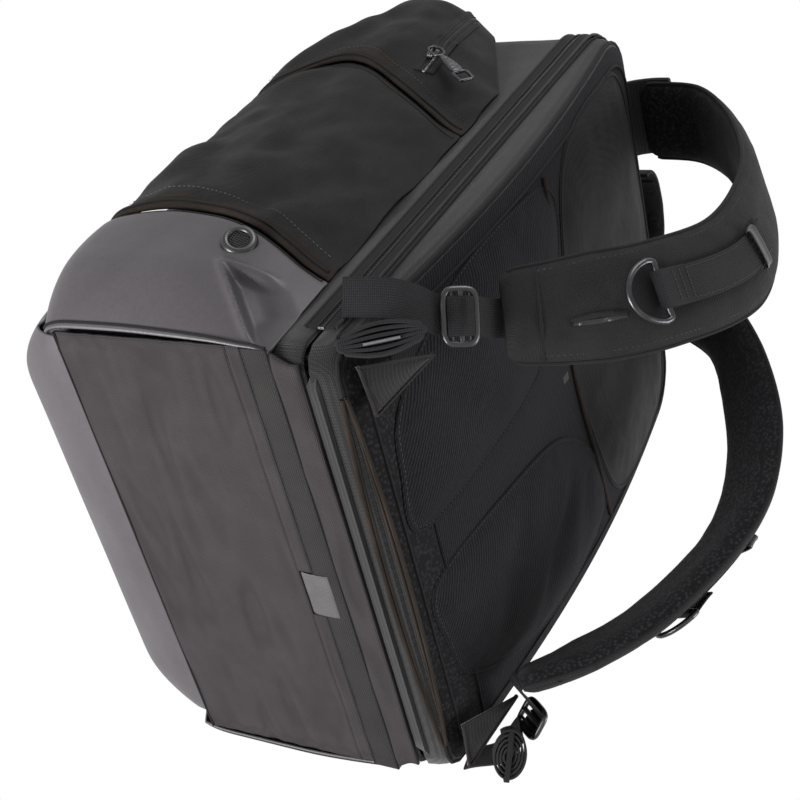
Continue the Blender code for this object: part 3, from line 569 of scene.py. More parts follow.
def stitch_mesh(name, path, length=0.0026, gap=0.0014, radius=0.00030):
    """A row of sewn stitches: short pointed threads laid along a path."""
    line = [Vector(p) for p in path]
    marks = [0.0]
    for a, b in zip(line, line[1:]):
        marks.append(marks[-1] + (b - a).length)
    bm = bmesh.new()

    def point_at(distance):
        j = 0
        while j < len(marks) - 2 and marks[j + 1] < distance:
            j += 1
        span = max(marks[j + 1] - marks[j], 1e-9)
        return line[j].lerp(line[j + 1], min(max((distance - marks[j]) / span, 0.0), 1.0))

    at = gap
    while at + length < marks[-1]:
        start = point_at(at)
        end = point_at(at + length)
        run = (end - start).normalized()
        wide = run.orthogonal().normalized()
        other = run.cross(wide)
        ring = [bm.verts.new(start.lerp(end, 0.5) + (wide * c + other * s) * radius) for c, s in circle(5)]
        tips = (bm.verts.new(start), bm.verts.new(end))
        for k in range(5):
            bm.faces.new((ring[k], ring[(k + 1) % 5], tips[1]))
            bm.faces.new((ring[(k + 1) % 5], ring[k], tips[0]))
        at += length + gap
    mesh = bpy.data.meshes.new(name)
    bm.to_mesh(mesh)
    bm.free()
    return mesh


def add_tube(name, path, radius, sides, body, material, closed=False):
    """Piece of piping, seam or round bar along a path."""
    add_piece(name, tube_mesh(name, path, radius, sides, closed), body, material)


def add_stitches(name, body, path, *sizes):
    """Piece of sewing along a path; sizes are those of stitch_mesh."""
    add_piece(name, stitch_mesh(name, path, *sizes), body, "thread")


def wrinkle(point, size, amount, seed=0.0):
    """Smooth random height at a point, in metres."""
    return amount * noise.noise(Vector(point) / size + Vector((seed, seed * 0.7, -seed)))


def block_mesh(name, place, size, bevel):
    """Block with rounded edges, set in a frame."""
    bm = bmesh.new()
    bmesh.ops.create_cube(bm, size=1.0, matrix=Matrix.Diagonal((*size, 1)))
    bmesh.ops.bevel(bm, geom=bm.edges[:], offset=bevel, segments=3, profile=0.6, affect="EDGES")
    bmesh.ops.transform(bm, verts=bm.verts, matrix=place)
    mesh = bpy.data.meshes.new(name)
    bm.to_mesh(mesh)
    bm.free()
    return mesh


# ---- Shape of the body -----------------------------------------------------------------------
def body_outline(inset=0.0, base=BODY_BASE, count=176):
    """Outline of the bag seen from behind as evenly spaced (x, z) points, going round once."""
    half = HALF_WIDTH - inset
    top = HEIGHT - inset
    low = base + inset
    across, down = TOP_CORNER
    corner = BOTTOM_CORNER
    side = []
    for k in range(7):
        angle = math.radians(15 * k)
        side.append((half - corner + corner * math.sin(angle), low + corner - corner * math.cos(angle)))
    for k in range(13):
        angle = math.radians(7.5 * k)
        side.append((half - across + across * math.cos(angle), top - down + down * math.sin(angle)))
    ring = side + [(-x, z) for x, z in reversed(side)]
    even = resample([(x, 0.0, z) for x, z in ring], count, closed=True)
    return [(p.x, p.z) for p in even]


def side_x(z):
    start = HEIGHT - TOP_CORNER[1]
    if z <= start:
        return HALF_WIDTH
    rise = min((z - start) / TOP_CORNER[1], 1.0)
    return HALF_WIDTH - TOP_CORNER[0] + TOP_CORNER[0] * math.sqrt(1.0 - rise**2)


def back_y(z):
    u = min(max(z / HEIGHT, 0.0), 1.0)
    return BACK_FOOT + BACK_BELLY * math.sin(math.pi * u) + BACK_LEAN * u


def line_height(line, y):
    for (y0, z0), (y1, z1) in zip(line, line[1:]):
        if y <= y1:
            share = min(max((y - y0) / (y1 - y0), 0.0), 1.0)
            return z0 + (z1 - z0) * share
    return line[-1][1]


def soft_line(line, y):
    """The seam line with its corners eased."""
    return sum(line_height(line, y + d) for d in (-0.018, -0.009, 0.0, 0.009, 0.018)) / 5


def flank_limits(z):
    foot = max(0.0, 1.0 - z / 0.10)
    head = max(0.0, (z - 0.36) / (POCKET_TOP - 0.36))
    return -0.130 + 0.030 * foot**2 + 0.090 * head, 0.074 + 0.002 * foot - 0.070 * head


def flank_bulge(z):
    foot = max(0.0, 1.0 - z / 0.06)
    rise = smoothstep(z, 0.32, 0.42)
    head = max(0.0, (z - 0.38) / (POCKET_TOP - 0.38))
    depth = SIDE_BULGE + TOP_BULGE * rise
    return depth * (1.0 - 0.80 * foot**2) * math.sqrt(max(1.0 - head**4, 0.03))


def flank_place(side, y, z):
    """Point on the pocket skin at a given depth and height, and the outward direction there."""
    front, rear = flank_limits(z)
    share = (y - front) / (rear - front)
    for (a0, o0), (a1, o1) in zip(FLANK, FLANK[1:]):
        if share <= a1:
            break
    out = o0 + (o1 - o0) * (share - a0) / (a1 - a0)
    run_y = (rear - front) * (a1 - a0)
    run_x = flank_bulge(z) * (o1 - o0)
    normal = Vector((side * run_y, -run_x, 0.0)).normalized()
    return Vector((side * (side_x(z) + 0.0012 + flank_bulge(z) * out), y, z)), normal


def zip_track(offset, low=0.030, count=150):
    """Centre line of the main zip round the body as (x, z) points, from foot to foot."""
    outline = body_outline(-offset, count=400)
    right = sorted([(z, x) for x, z in outline if x > 0.155 and z > low + 0.003])
    upper = [(x, z) for z, x in right]
    arc = [(HALF_WIDTH + offset, low)] + upper
    top = [p for p in outline if abs(p[0]) <= 0.155 and p[1] > 0.3]
    top = sorted(top, key=lambda p: -p[0])
    line = arc + top + [(-x, z) for x, z in reversed(arc)]
    even = resample([(x, 0.0, z) for x, z in line], count)
    return [(p.x, p.z) for p in even]


# ---- Tray: shell, base, kick panel, front pocket ---------------------------------------------
def make_tray():
    """Fabric body of the bag, open at the rear, with faint swells that calm down at its seams."""
    rows = []
    steps = [(0.0953, 0.0010, 0.0), (0.0935, 0.0, 0.0)]
    steps += [(0.0935 - 0.1875 * k / 16, 0.0, 0.0) for k in range(1, 17)]
    steps += [(-0.107, 0.0011, 0.004), (-0.120, 0.0034, 0.011), (-0.127, 0.0060, 0.0145),
              (-0.132, 0.0100, 0.018), (-0.1360, 0.0150, 0.021), (TRAY_FRONT, 0.0220, 0.024)]
    for y, inset, lift in steps:
        ring = []
        for x, z in body_outline(inset, BODY_BASE + lift):
            flat = smoothstep(0.0935 - y, 0.0, 0.02) * smoothstep(z, 0.01, 0.05)
            swell = wrinkle((x, y, z), 0.055, 0.0016, 3.0) * flat
            centre = Vector((x * 0.6, 0, z - MID_HEIGHT))
            away = Vector((x, 0, z - MID_HEIGHT)) - centre * 0.4
            ring.append(Vector((x, y, z)) + away.normalized() * (swell - 0.0006 * flat))
        rows.append(ring)
    for scale in (0.90, 0.70, 0.45, 0.2, 0.03):
        rows.append([Vector((x * scale, TRAY_FRONT, MID_HEIGHT + (z - MID_HEIGHT) * scale))
                     for x, z in body_outline(0.022, BODY_BASE + 0.024)])
    mesh = grid_mesh("tray_body", rows, wrap_u=True, close=True)
    add_piece("tray_body", mesh, "tray", ["nylon", "lining"], ["tray_shell"], wall=0.0055)


def sheet_rows(low, high, nx, ny, height):
    """Rows of a level sheet between two corners in X and Y, narrower towards the rear."""
    rows = []
    for j in range(ny + 1):
        y = low[1] + (high[1] - low[1]) * j / ny
        narrow = 1 - 0.055 * smoothstep(y, 0.068, 0.090)
        across = [(low[0] + (high[0] - low[0]) * i / nx) * narrow for i in range(nx + 1)]
        rows.append([Vector((x, y, 0.0)) for x in across])
    for row in rows:
        for p in row:
            p.z = height(p)
    return rows


def base_height(p):
    """Soft creases across the underside that fade towards the seams."""
    edge = 0.0010 * smoothstep(abs(p.x), 0.170, 0.184)
    creases = abs(wrinkle((p.x * 0.18, p.y, 0.0), 0.017, 0.0022, 5.0))
    return 0.0004 + edge + creases + wrinkle(p, 0.05, 0.0003, 8.0)


def make_base():
    """Base fabrics round the label tab, the webbing strip across them and their seams."""
    half = HALF_WIDTH + 0.0020
    for name, low, high, steps, nodes in (
            ("base_fabric", (-half, -0.0935), (half, 0.0440), (90, 45), ["base_panel"]),
            ("base_rear_fabric", (-half, 0.0745), (half, 0.0935), (90, 6), ["base_rear_panel"]),
            ("base_fabric_left", (-half, 0.0438), (-0.0364, 0.0547), (50, 4), ()),
            ("base_fabric_right", (0.0034, 0.0438), (half, 0.0547), (50, 4), ())):
        rows = sheet_rows(low, high, *steps, base_height)
        mesh = face_outwards(grid_mesh(name, rows), (0, 0, -1))
        add_piece(name, mesh, "tray", "base", nodes, wall=0.0022)
    path = [Vector((-half + 2 * half * k / 80, 0.0645, 0.0016 + wrinkle((k * 0.02, 0, 0), 0.09, 0.0002)))
            for k in range(81)]
    frames = [(Vector((0, 1, 0)), Vector((0, 0, 1)))] * len(path)
    mesh = ribbon_mesh("base_webbing_strip", path, frames, section_rect(0.0094, 0.0012, 0.0006))
    add_piece("base_webbing_strip", mesh, "tray", "strip", ["base_webbing"])
    for tag, y in (("front", 0.0562), ("rear", 0.0728)):
        rail = [(p.x, y, 0.00025) for p in path]
        add_stitches("base_stitches_" + tag, "tray", rail)
    for tag, y in (("kick", -0.0925), ("strip", 0.0550), ("edge", 0.0742)):
        rail = [(p.x, y, 0.0012) for p in path]
        add_tube("base_seam_" + tag, rail, 0.0011, 6, "tray", "tape")
    fold = [(0.0440, 0.0014), (0.0480, 0.0002), (0.0540, -0.0002), (0.0600, -0.0006), (0.0660, -0.0002),
            (0.0668, 0.0006)]
    rows = [[Vector((-0.0355 + 0.038 * i / 12, y, z + wrinkle((i * 0.004, y, 0), 0.012, 0.0004, 2.0)))
             for i in range(13)] for y, z in fold]
    mesh = face_outwards(grid_mesh("base_label_tab", rows), (0, 0, -1))
    add_piece("base_label_tab", mesh, "tray", "label", ["base_label"], wall=0.0007, level=1)


def make_kick_panel():
    """Leather-look panel that wraps the lower front, its corners drawn back to the side cups."""
    profile = smooth_path([(0, -0.0925, 0.0010), (0, -0.118, 0.0042), (0, -0.146, 0.0146),
                           (0, -0.158, 0.030), (0, -0.1614, 0.055), (0, -0.1616, 0.085),
                           (0, -0.1600, KICK_TOP)], 7)
    rows = []
    for j in range(61):
        u = -1 + 2 * j / 60
        x = 0.1765 * math.sin(u * math.pi / 2 * 0.97)
        edge = max(0.0, (abs(x) - 0.128) / 0.0485)
        back = 0.030 * edge**2.2
        row = []
        for p in profile:
            lift = wrinkle((x * 0.5, p.y, p.z), 0.05, 0.0012, 4.0)
            row.append(Vector((x, p.y + back * min(p.z / 0.02, 1.0) + lift * 0.6, p.z + 0.006 * edge**3)))
        rows.append(row)
    mesh = face_outwards(grid_mesh("kick_leather", rows), (0, -1, -0.4))
    add_piece("kick_leather", mesh, "tray", "leather", ["front_kick_panel"], wall=0.0020,
              level=1)
    top = [row[-1] + Vector((0, -0.0004, 0)) for row in rows]
    add_tube("kick_binding", top, 0.0017, 8, "tray", "binding")
    line = [row[-3] + Vector((0, -0.0010, 0)) for row in rows]
    add_stitches("kick_stitches", "tray", line)


def make_front_pocket():
    """Flat zipped pocket above the kick panel."""
    start = TRAY_FRONT - 0.0004
    front = TRAY_FRONT - POCKET_DEPTH
    middle = 0.29
    steps = [(start, 0.030), (front + 0.012, 0.030), (front + 0.007, 0.0302), (front + 0.0035, 0.0315),
             (front + 0.0012, 0.034), (front, 0.040)]
    rows = []
    for y, inset in steps:
        rows.append([Vector((x, y, z)) for x, z in body_outline(inset, POCKET_FOOT)])
    for scale in (0.94, 0.84, 0.72, 0.58, 0.42, 0.25, 0.10, 0.02):
        ring = []
        for x, z in body_outline(0.040, POCKET_FOOT):
            px, pz = x * scale, middle + (z - middle) * scale
            flat = smoothstep(1 - scale, 0.0, 0.2) * smoothstep(abs(pz - FRONT_ZIP_HEIGHT), 0.008, 0.03)
            swell = wrinkle((px, 0, pz), 0.06, 0.0034, 6.0)
            ring.append(Vector((px, front - 0.0016 * flat + swell * flat, pz)))
        rows.append(ring)
    mesh = grid_mesh("front_pocket_skin", rows, wrap_u=True, close=True)
    add_piece("front_pocket_skin", mesh, "tray", ["panel", "lining"], ["front_pocket"], wall=0.0022,
              level=1)
    rim = [Vector((x, front + 0.0030, z)) for x, z in body_outline(0.0312, POCKET_FOOT)]
    add_tube("front_pocket_piping", rim, 0.0016, 8, "tray", "piping", closed=True)
    path = [Vector((0.132 - 0.264 * k / 60, front - 0.0012, FRONT_ZIP_HEIGHT)) for k in range(61)]
    lay_zip("front_zip", path, [Vector((0, -1, 0))] * 61, 0.0125, "tray")


def lay_zip(name, path, outs, half, body):
    """A closed zip on a surface: two tapes that lap the coil, the coil teeth and the sewn lines."""
    runs = directions(path)
    frames = [(run.cross(out).normalized(), out.normalized()) for run, out in zip(runs, outs)]
    for tag, sign in (("upper", 1), ("lower", -1)):
        middle = [p + wide * (sign * (half / 2 + 0.0011)) for p, (wide, out) in zip(path, frames)]
        section = section_rect(half / 2 - 0.0010, 0.0007, 0.0005)
        mesh = ribbon_mesh(name + "_tape_" + tag, middle, frames, section)
        add_piece(name + "_tape_" + tag, mesh, body, "panel")
        rail = [p + wide * (sign * half * 0.62) + out * 0.0009 for p, (wide, out) in zip(path, frames)]
        add_stitches(name + "_stitch_" + tag, body, rail)
        edge = [p + wide * (sign * 0.0019) + out * 0.0006 for p, (wide, out) in zip(path, frames)]
        add_tube(name + "_lip_" + tag, edge, 0.0007, 6, body, "piping")
    mesh = teeth_mesh(name + "_coil", path, frames, 0.0013, 0.0006, 0.0012)
    add_piece(name + "_coil", mesh, body, "coil")


def teeth_mesh(name, path, frames, half, height, pitch):
    """Coil teeth: short bars across the run."""
    total = sum((b - a).length for a, b in zip(path, path[1:]))
    count = int(total / pitch)
    points = resample(path, count)
    bm = bmesh.new()
    for i, point in enumerate(points):
        wide, out = frames[min(int(i * len(frames) / count), len(frames) - 1)]
        run = wide.cross(out)
        corners = []
        for u, v, w in ((-1, -1, 0), (1, -1, 0), (1, 1, 0), (-1, 1, 0), (-0.8, -0.6, 1), (0.8, -0.6, 1),
                        (0.8, 0.6, 1), (-0.8, 0.6, 1)):
            foot = point + wide * (u * half) + run * (v * pitch * 0.32)
            corners.append(bm.verts.new(foot + out * (w * height)))
        for face in ((3, 2, 1, 0), (4, 5, 6, 7), (0, 1, 5, 4), (1, 2, 6, 5), (2, 3, 7, 6), (3, 0, 4, 7)):
            bm.faces.new([corners[k] for k in face])
    bmesh.ops.recalc_face_normals(bm, faces=bm.faces)
    mesh = bpy.data.meshes.new(name)
    bm.to_mesh(mesh)
    bm.free()
    return mesh


# ---- Side pockets ----------------------------------------------------------------------------
FINE_FLANK = [(p.x, p.y) for p in smooth_path([(a, o, 0) for a, o in FLANK], 11)]


def flank_row(side, height_at, shift=0.0):
    """One level line of a side pocket skin, from the front edge to the rear edge."""
    row = []
    for along, out in FINE_FLANK:
        z = height_at(-0.02)
        for _ in range(4):
            front, rear = flank_limits(z)
            z = height_at(front + (rear - front) * along)
        front, rear = flank_limits(z)
        shoulder = max(0.0, (z - HEIGHT + TOP_CORNER[1]) / TOP_CORNER[1])
        body = side_x(z) + 0.0012 + 0.0050 * shoulder
        depth = max(flank_bulge(z) * out + shift * min(1.0, out * 3), 0.0)
        row.append(Vector((side * (body + depth), front + (rear - front) * along, z)))
    return row


def cup_fold(y, z):
    """Sunk three-cornered facet under the eyelet, with a sharp fold from it to the lower rear corner."""
    behind = (y - 0.0125) * 0.740 + (z - 0.060) * 0.672
    below = 0.0615 - z
    foot = smoothstep(z, 0.001, 0.014)
    sunk = smoothstep(behind, 0.0, 0.005) * smoothstep(below, 0.0, 0.008)
    sunk *= 1 - smoothstep(behind, 0.012, 0.036)
    ridge = math.exp(-((behind + 0.0012) / 0.0026) ** 2) * smoothstep(below, -0.003, 0.006)
    brow = math.exp(-((below + 0.0018) / 0.0032) ** 2)
    brow = brow * smoothstep(y, 0.007, 0.015) * smoothstep(0.056 - y, 0, 0.014)
    return foot * (0.0034 * ridge + 0.0026 * brow - 0.0085 * sunk)


def make_storey(name, side, low, high, rows, materials, nodes, band_height, seed, fold=None):
    """One storey of a side pocket: skin with a bound lower edge, its top edge tucked under the next."""
    grid = []
    for k in range(rows + 1):
        share = k / rows
        tuck = -0.0035 * smoothstep(share, 0.94, 1.0) - 0.0010 * smoothstep(0.03 - share, 0.0, 0.03)

        def height_at(y, share=share):
            return low(y) + (high(y) - low(y)) * share

        row = flank_row(side, height_at, tuck)
        for p in row:
            calm = smoothstep(share, 0.0, 0.10) * smoothstep(1 - share, 0.0, 0.08)
            if p.z > 0.335:
                calm *= 1 - math.exp(-((p.y - 0.014) / 0.016) ** 2)
            ripple = wrinkle(p, 0.050, 0.0080, seed) + wrinkle(p, 0.022, 0.0030, seed + 4)
            if fold:
                ripple = wrinkle(p, 0.060, 0.0016, seed) + fold(p.y, p.z)
            p.x += side * (ripple * calm if not fold else ripple * smoothstep(1 - share, 0.0, 0.10))
            p.x = side * max(side * p.x, side_x(p.z) + 0.0008)
        grid.append(row)

    def pick(centre):
        above = centre.z - low(centre.y)
        return 1 if above < band_height else 0

    mesh = grid_mesh(name, grid, pick=pick if band_height else None)
    face_outwards(mesh, (side, 0, 0))
    piece = add_piece(name, mesh, "tray", materials, nodes, level=1)
    add_wall(piece, 0.0020)
    for label, row, radius in (("low", grid[1], 0.0010), ("high", grid[-2], 0.0008)):
        rail = [p + Vector((side * 0.0004, 0, 0)) for p in row[2:-2]]
        seam = name + "_seam_" + label
        add_tube(seam, rail, radius, 6, "tray", "tape" if label == "low" else "piping")
    return grid


def make_side_pockets():
    for tag, side in SIDES:
        make_storey("cup_" + tag, side, lambda y: 0.0012, lambda y: soft_line(CUP_LINE, y) - 0.0006, 46,
                    ["leather"], ["side_cup_" + tag], 0, 1.0 + side, cup_fold)
        panel = make_storey("panel_" + tag, side, lambda y: soft_line(CUP_LINE, y) + 0.0012,
                            lambda y: soft_line(PANEL_LINE, y) - 0.0006, 34, ["panel", "binding"],
                            ["side_panel_" + tag], 0.012, 7.0 + side)
        upper = make_storey("upper_" + tag, side, lambda y: soft_line(PANEL_LINE, y) + 0.0012,
                            lambda y: POCKET_TOP - 0.003, 30, ["panel", "binding"],
                            ["side_pocket_" + tag], 0.014, 11.0 + side)
        top = [Vector((side * (side_x(POCKET_TOP) - 0.004), p.y, p.z - 0.0015)) for p in upper[-1]]
        rows = []
        for k in range(7):
            rise = Vector((0, 0, 0.0012 * math.sin(math.pi * k / 6)))
            rows.append([a.lerp(b, k / 6) + rise for a, b in zip(upper[-1], top)])
        name = "upper_lid_" + tag
        mesh = face_outwards(grid_mesh(name, rows), (0, 0, 1))
        add_piece(name, mesh, "tray", "panel", wall=0.0015)
        for label, grid in (("panel", panel), ("upper", upper)):
            rail = [p + Vector((side * 0.0008, 0, 0)) for p in grid[3][3:-3]]
            name = label + "_stitches_" + tag
            add_stitches(name, "tray", rail)
        make_eyelet(tag, side)
        path, outs = [], []
        for k in range(31):
            share = k / 30
            y = 0.0185 - 0.0130 * share**2
            skin, out = flank_place(side, y, 0.350 + 0.125 * share)
            path.append(skin + out * 0.0010)
            outs.append(out)
        lay_zip("side_zip_" + tag, path, outs, 0.0085, "tray")


def make_eyelet(tag, side):
    """Drain eyelet: turned rim round a dark mesh disc, with a near-black disc behind the mesh as painted
    shade in the hole.
    """
    skin, out = flank_place(side, *EYELET_PLACE)
    out = (out + Vector((0, 0.22, -0.30))).normalized()
    frame = Matrix.Translation(skin + out * 0.0030) @ frame_from(out, (0, 0, 1)).to_4x4()
    rows = []
    for radius, height in ((0.0066, -0.0006), (0.0070, 0.0010), (0.0080, 0.0019), (0.0094, 0.0021),
                           (0.0110, 0.0014), (0.0122, -0.0004), (0.0126, -0.0024)):
        rows.append([frame @ Vector((radius * c, radius * s, height)) for c, s in circle(40)])
    mesh = face_outwards(grid_mesh("eyelet_" + tag, rows, wrap_u=True), out)
    add_piece("eyelet_" + tag, mesh, "tray", "plastic", ["drain_eyelet_" + tag], wall=0.0006)
    bars = []
    for k in range(-3, 4):
        span = math.sqrt(max(0.0068**2 - (k * 0.0018) ** 2, 1e-8))
        for turn in (0, 1):
            ends = [Vector((k * 0.0018, -span, 0.0)), Vector((k * 0.0018, span, 0.0))]
            if turn:
                ends = [Vector((p.y, p.x, 0.0003)) for p in ends]
            ends = [frame @ p for p in (ends[0], ends[0].lerp(ends[1], 0.5), ends[1])]
            bars.append(tube_mesh("bar", ends, 0.00035, 6))
    add_piece("eyelet_mesh_" + tag, join_meshes("eyelet_mesh_" + tag, bars), "tray", "coil")
    # near-black disc just under the mesh: painted shade standing for the dark drain hole
    rows = [[frame @ Vector((radius * c, radius * s, -0.0012)) for c, s in circle(24)]
            for radius in (0.0072, 0.003, 0.0004)]
    mesh = face_outwards(grid_mesh("eyelet_well_shade_" + tag, rows, wrap_u=True), out)
    add_piece("eyelet_well_shade_" + tag, mesh, "tray", "coil")


# ---- Main zip --------------------------------------------------------------------------------
def make_main_zip():
    """The zip round the opening: tape, teeth, seam and lip on the tray, and the same on the door."""
    for body, front, rear, teeth_y in (("tray", 0.0862, 0.0950, 0.09615), ("door", 0.0996, 0.1078, 0.09845)):
        sewn, free = (front, rear) if body == "tray" else (rear, front)
        stitched = sewn - 0.0035 if body == "tray" else sewn + 0.0035
        track = zip_track(0.0014)
        path = [Vector((x, (front + rear) / 2, z)) for x, z in track]
        runs = directions(path)
        frames = [(Vector((0, 1, 0)), run.cross(Vector((0, 1, 0))).normalized()) for run in runs]
        if frames[75][1].z < 0:
            frames = [(wide, -out) for wide, out in frames]
        half = (rear - front) / 2
        mesh = ribbon_mesh("main_tape_" + body, path, frames, section_rect(half, 0.0008, 0.0006))
        add_piece("main_tape_" + body, mesh, body, "tape", ["zip_tape_" + body])
        teeth = [Vector((x, teeth_y, z)) for x, z in zip_track(0.0004)]
        mesh = teeth_mesh("main_teeth_" + body, teeth, frames, 0.0011, 0.0014, 0.0021)
        add_piece("main_teeth_" + body, mesh, body, "coil")
        for tag, y, radius, material in (("seam", sewn, 0.0012, "nylon"), ("lip", free, 0.0009, "piping")):
            rail = [Vector((x, y, z)) for x, z in zip_track(0.0019)]
            label = "main_" + tag + "_" + body
            add_tube(label, rail, radius, 6, body, material)
        rail = [Vector((x, stitched, z)) for x, z in zip_track(0.0004)]
        add_stitches("main_stitches_" + body, body, rail)


# ---- Door: shell, pads, piping, sleeve -------------------------------------------------------
def door_face(x, z):
    """Depth of the rear face: contour plus the soft swelling of its mesh."""
    return back_y(z) + wrinkle((x, 0.0, z), 0.060, 0.0014, 13.0)


def make_door():
    """Door shell: fabric rim, mesh back with a dotted foot, piping and seams."""
    rows = []
    for y, inset in ((DOOR_FRONT, 0.0012), (DOOR_FRONT + 0.0004, 0.0)):
        rows.append([Vector((x, y, z)) for x, z in body_outline(inset)])
    for depth, inset in ((0.022, 0.0), (0.018, 0.0004), (0.014, 0.0008), (0.0085, 0.0020), (0.0055, 0.0034),
                         (0.0030, 0.0058), (0.0012, 0.0100), (0.0, 0.0160)):
        rows.append([Vector((x, back_y(z) - depth, z)) for x, z in body_outline(inset)])
    for scale in (0.95, 0.88, 0.80, 0.70, 0.60, 0.50, 0.40, 0.30, 0.20, 0.10, 0.02):
        ring = []
        for x, z in body_outline(0.0160):
            height = MID_HEIGHT + (z - MID_HEIGHT) * scale
            ring.append(Vector((x * scale, door_face(x * scale, height), height)))
        rows.append(ring)

    def pick(centre):
        if centre.y < back_y(centre.z) - 0.004:
            return 0
        return 2 if centre.z < 0.050 else 3

    mesh = grid_mesh("door_body", rows, wrap_u=True, pick=pick, close=True)
    materials = ["nylon", "lining", "dots", "ribs"]
    door = add_piece("door_body", mesh, "door", materials, ["door_shell"], wall=0.0046)
    door.modifiers["wall"].material_offset = 0
    rim = [Vector((x, back_y(z) - 0.0052, z)) for x, z in body_outline(0.0036)]
    add_tube("door_piping", rim, 0.0018, 8, "door", "tape", closed=True)
    inner = [Vector((x, back_y(z) + 0.0004, z)) for x, z in body_outline(0.0175)]
    add_tube("door_seam", inner, 0.0012, 6, "door", "tape", closed=True)
    gusset = [Vector((x, 0.1118, z)) for x, z in body_outline(-0.0004) if z > 0.02]
    gusset = sorted(gusset, key=lambda p: math.atan2(p.x, -(p.z - MID_HEIGHT)))
    add_tube("door_gusset_seam", gusset, 0.0009, 6, "door", "tape")
    dots_top = [Vector((-0.160 + 0.32 * k / 60, door_face(-0.160 + 0.32 * k / 60, 0.050) + 0.0006,
                        0.050 + wrinkle((k * 0.01, 0, 0), 0.1, 0.002))) for k in range(61)]
    add_tube("door_border_seam", dots_top, 0.0011, 6, "door", "tape")


def pad_outline(points, steps):
    return [(p.x, p.z) for p in smooth_path([(x, 0, z) for x, z in points], steps, closed=True)]


def make_pad(name, points, height, material, node, seed, creases):
    """Stuffed pad on the rear face: crowned, pinched at its sewn edge and rippled towards it."""
    outline = pad_outline(points, 14)
    cx = sum(x for x, z in outline) / len(outline)
    cz = sum(z for x, z in outline) / len(outline)
    rows = []
    for scale in (1.05, 1.03, 1.015, 0.99, 0.94, 0.91, 0.87, 0.82, 0.76, 0.69, 0.60, 0.50, 0.39, 0.27,
                  0.14, 0.03):
        rise = (1 - min(scale, 1.0) ** 3.5) ** 0.9
        ring = []
        for k, (x, z) in enumerate(outline):
            px = cx + (x - cx) * scale
            pz = cz + (z - cz) * scale
            tuck = wrinkle((k * 0.004, scale * 0.01, 0), 0.010, 0.0016, seed)
            tuck *= math.exp(-((scale - 0.90) / 0.07) ** 2)
            soft = wrinkle((px, 0, pz), 0.045, 0.0028, seed) * rise
            dip = 0.0
            for (ax, az), (bx, bz), depth, width in creases:
                run = Vector((bx - ax, bz - az))
                at = Vector((px - ax, pz - az))
                share = min(max(at.dot(run) / run.length_squared, 0.0), 1.0)
                gap = (at - run * share).length
                middle = math.sin(math.pi * min(max(share, 0.08), 0.92))
                dip += depth * math.exp(-(gap / width) ** 2) * middle
            ring.append(Vector((px, back_y(pz) + 0.0010 + height * rise + tuck + soft - dip * rise, pz)))
        rows.append(ring)
    mesh = face_outwards(grid_mesh(name, rows, wrap_u=True, close=True), (0, 1, 0))
    pad = add_piece(name, mesh, "door", material, [node], wall=0.0012, level=1)
    rim = [p + Vector((0, -0.0002, 0)) for p in rows[1]]
    seam = name + "_welt"
    add_tube(seam, rim, 0.0009, 6, "door", "tape", closed=True)
    line = [p + Vector((0, 0.0003, 0)) for p in rows[2]]
    add_stitches(name + "_stitches", "door", line + line[:1])


def make_back_pads():
    make_pad("upper_pad", UPPER_PAD, 0.010, "strap", "upper_back_pad", 2.0,
             [((-0.12, 0.45), (0.12, 0.45), 0.003, 0.010), ((0.0, 0.28), (0.0, 0.46), 0.005, 0.016)])
    for tag, side in SIDES:
        outline = [(side * x, z) for x, z in LUMBAR_PAD][::side]
        creases = [((side * 0.050, 0.235), (side * 0.150, 0.120), 0.0045, 0.009),
                   ((side * 0.030, 0.150), (side * 0.120, 0.070), 0.0040, 0.009),
                   ((side * 0.070, 0.262), (side * 0.155, 0.190), 0.0035, 0.007)]
        make_pad("lumbar_" + tag, outline, 0.011, "ribs", "lumbar_pad_" + tag, 5.0 + side, creases)
    line = [(-0.160, 0, 0.286), (-0.100, 0, 0.2795), (-0.040, 0, 0.2700), (0.0, 0, 0.2660),
            (0.040, 0, 0.2680), (0.100, 0, 0.2720), (0.160, 0, 0.2740)]
    path = [Vector((p.x, back_y(p.z) + 0.0016, p.z - 0.004)) for p in smooth_path(line, 8)]
    add_tube("back_seam", path, 0.0019, 8, "door", "binding")


def make_rain_zip():
    """Lens-shaped zipped slot of the rain-cover pocket on the lower rear edge."""
    face = Vector((0, 0.62, -0.785)).normalized()
    wide = Vector((1, 0, 0)).cross(face)
    path, spread = [], []
    for k in range(49):
        path.append(Vector((-0.150 + 0.300 * k / 48, 0.1162, 0.0068)) + face * 0.0020)
        spread.append(0.0012 + 0.0062 * math.sin(math.pi * k / 48) ** 0.8)
    frames = [(wide, face)] * 49
    section = section_rect(1.0, 0.0006, 0.0004)
    mesh = ribbon_mesh("rain_slot", path, frames, section, [(s, 1.0) for s in spread])
    add_piece("rain_slot", mesh, "door", "nylon", ["rain_cover_zip"])
    for tag, sign in (("upper", 1), ("lower", -1)):
        for ring, radius in ((1.0, 0.0015), (0.62, 0.0008)):
            rail = [p + wide * (sign * s * ring) + face * 0.0007 for p, s in zip(path, spread)]
            name = "rain_piping_" + tag + ("_outer" if ring == 1.0 else "_inner")
            add_tube(name, rail, radius, 8, "door", "binding")
    teeth = [p + face * 0.0006 for p in path[3:-3]]
    mesh = teeth_mesh("rain_coil", teeth, frames, 0.0013, 0.0006, 0.0013)
    add_piece("rain_coil", mesh, "door", "coil")


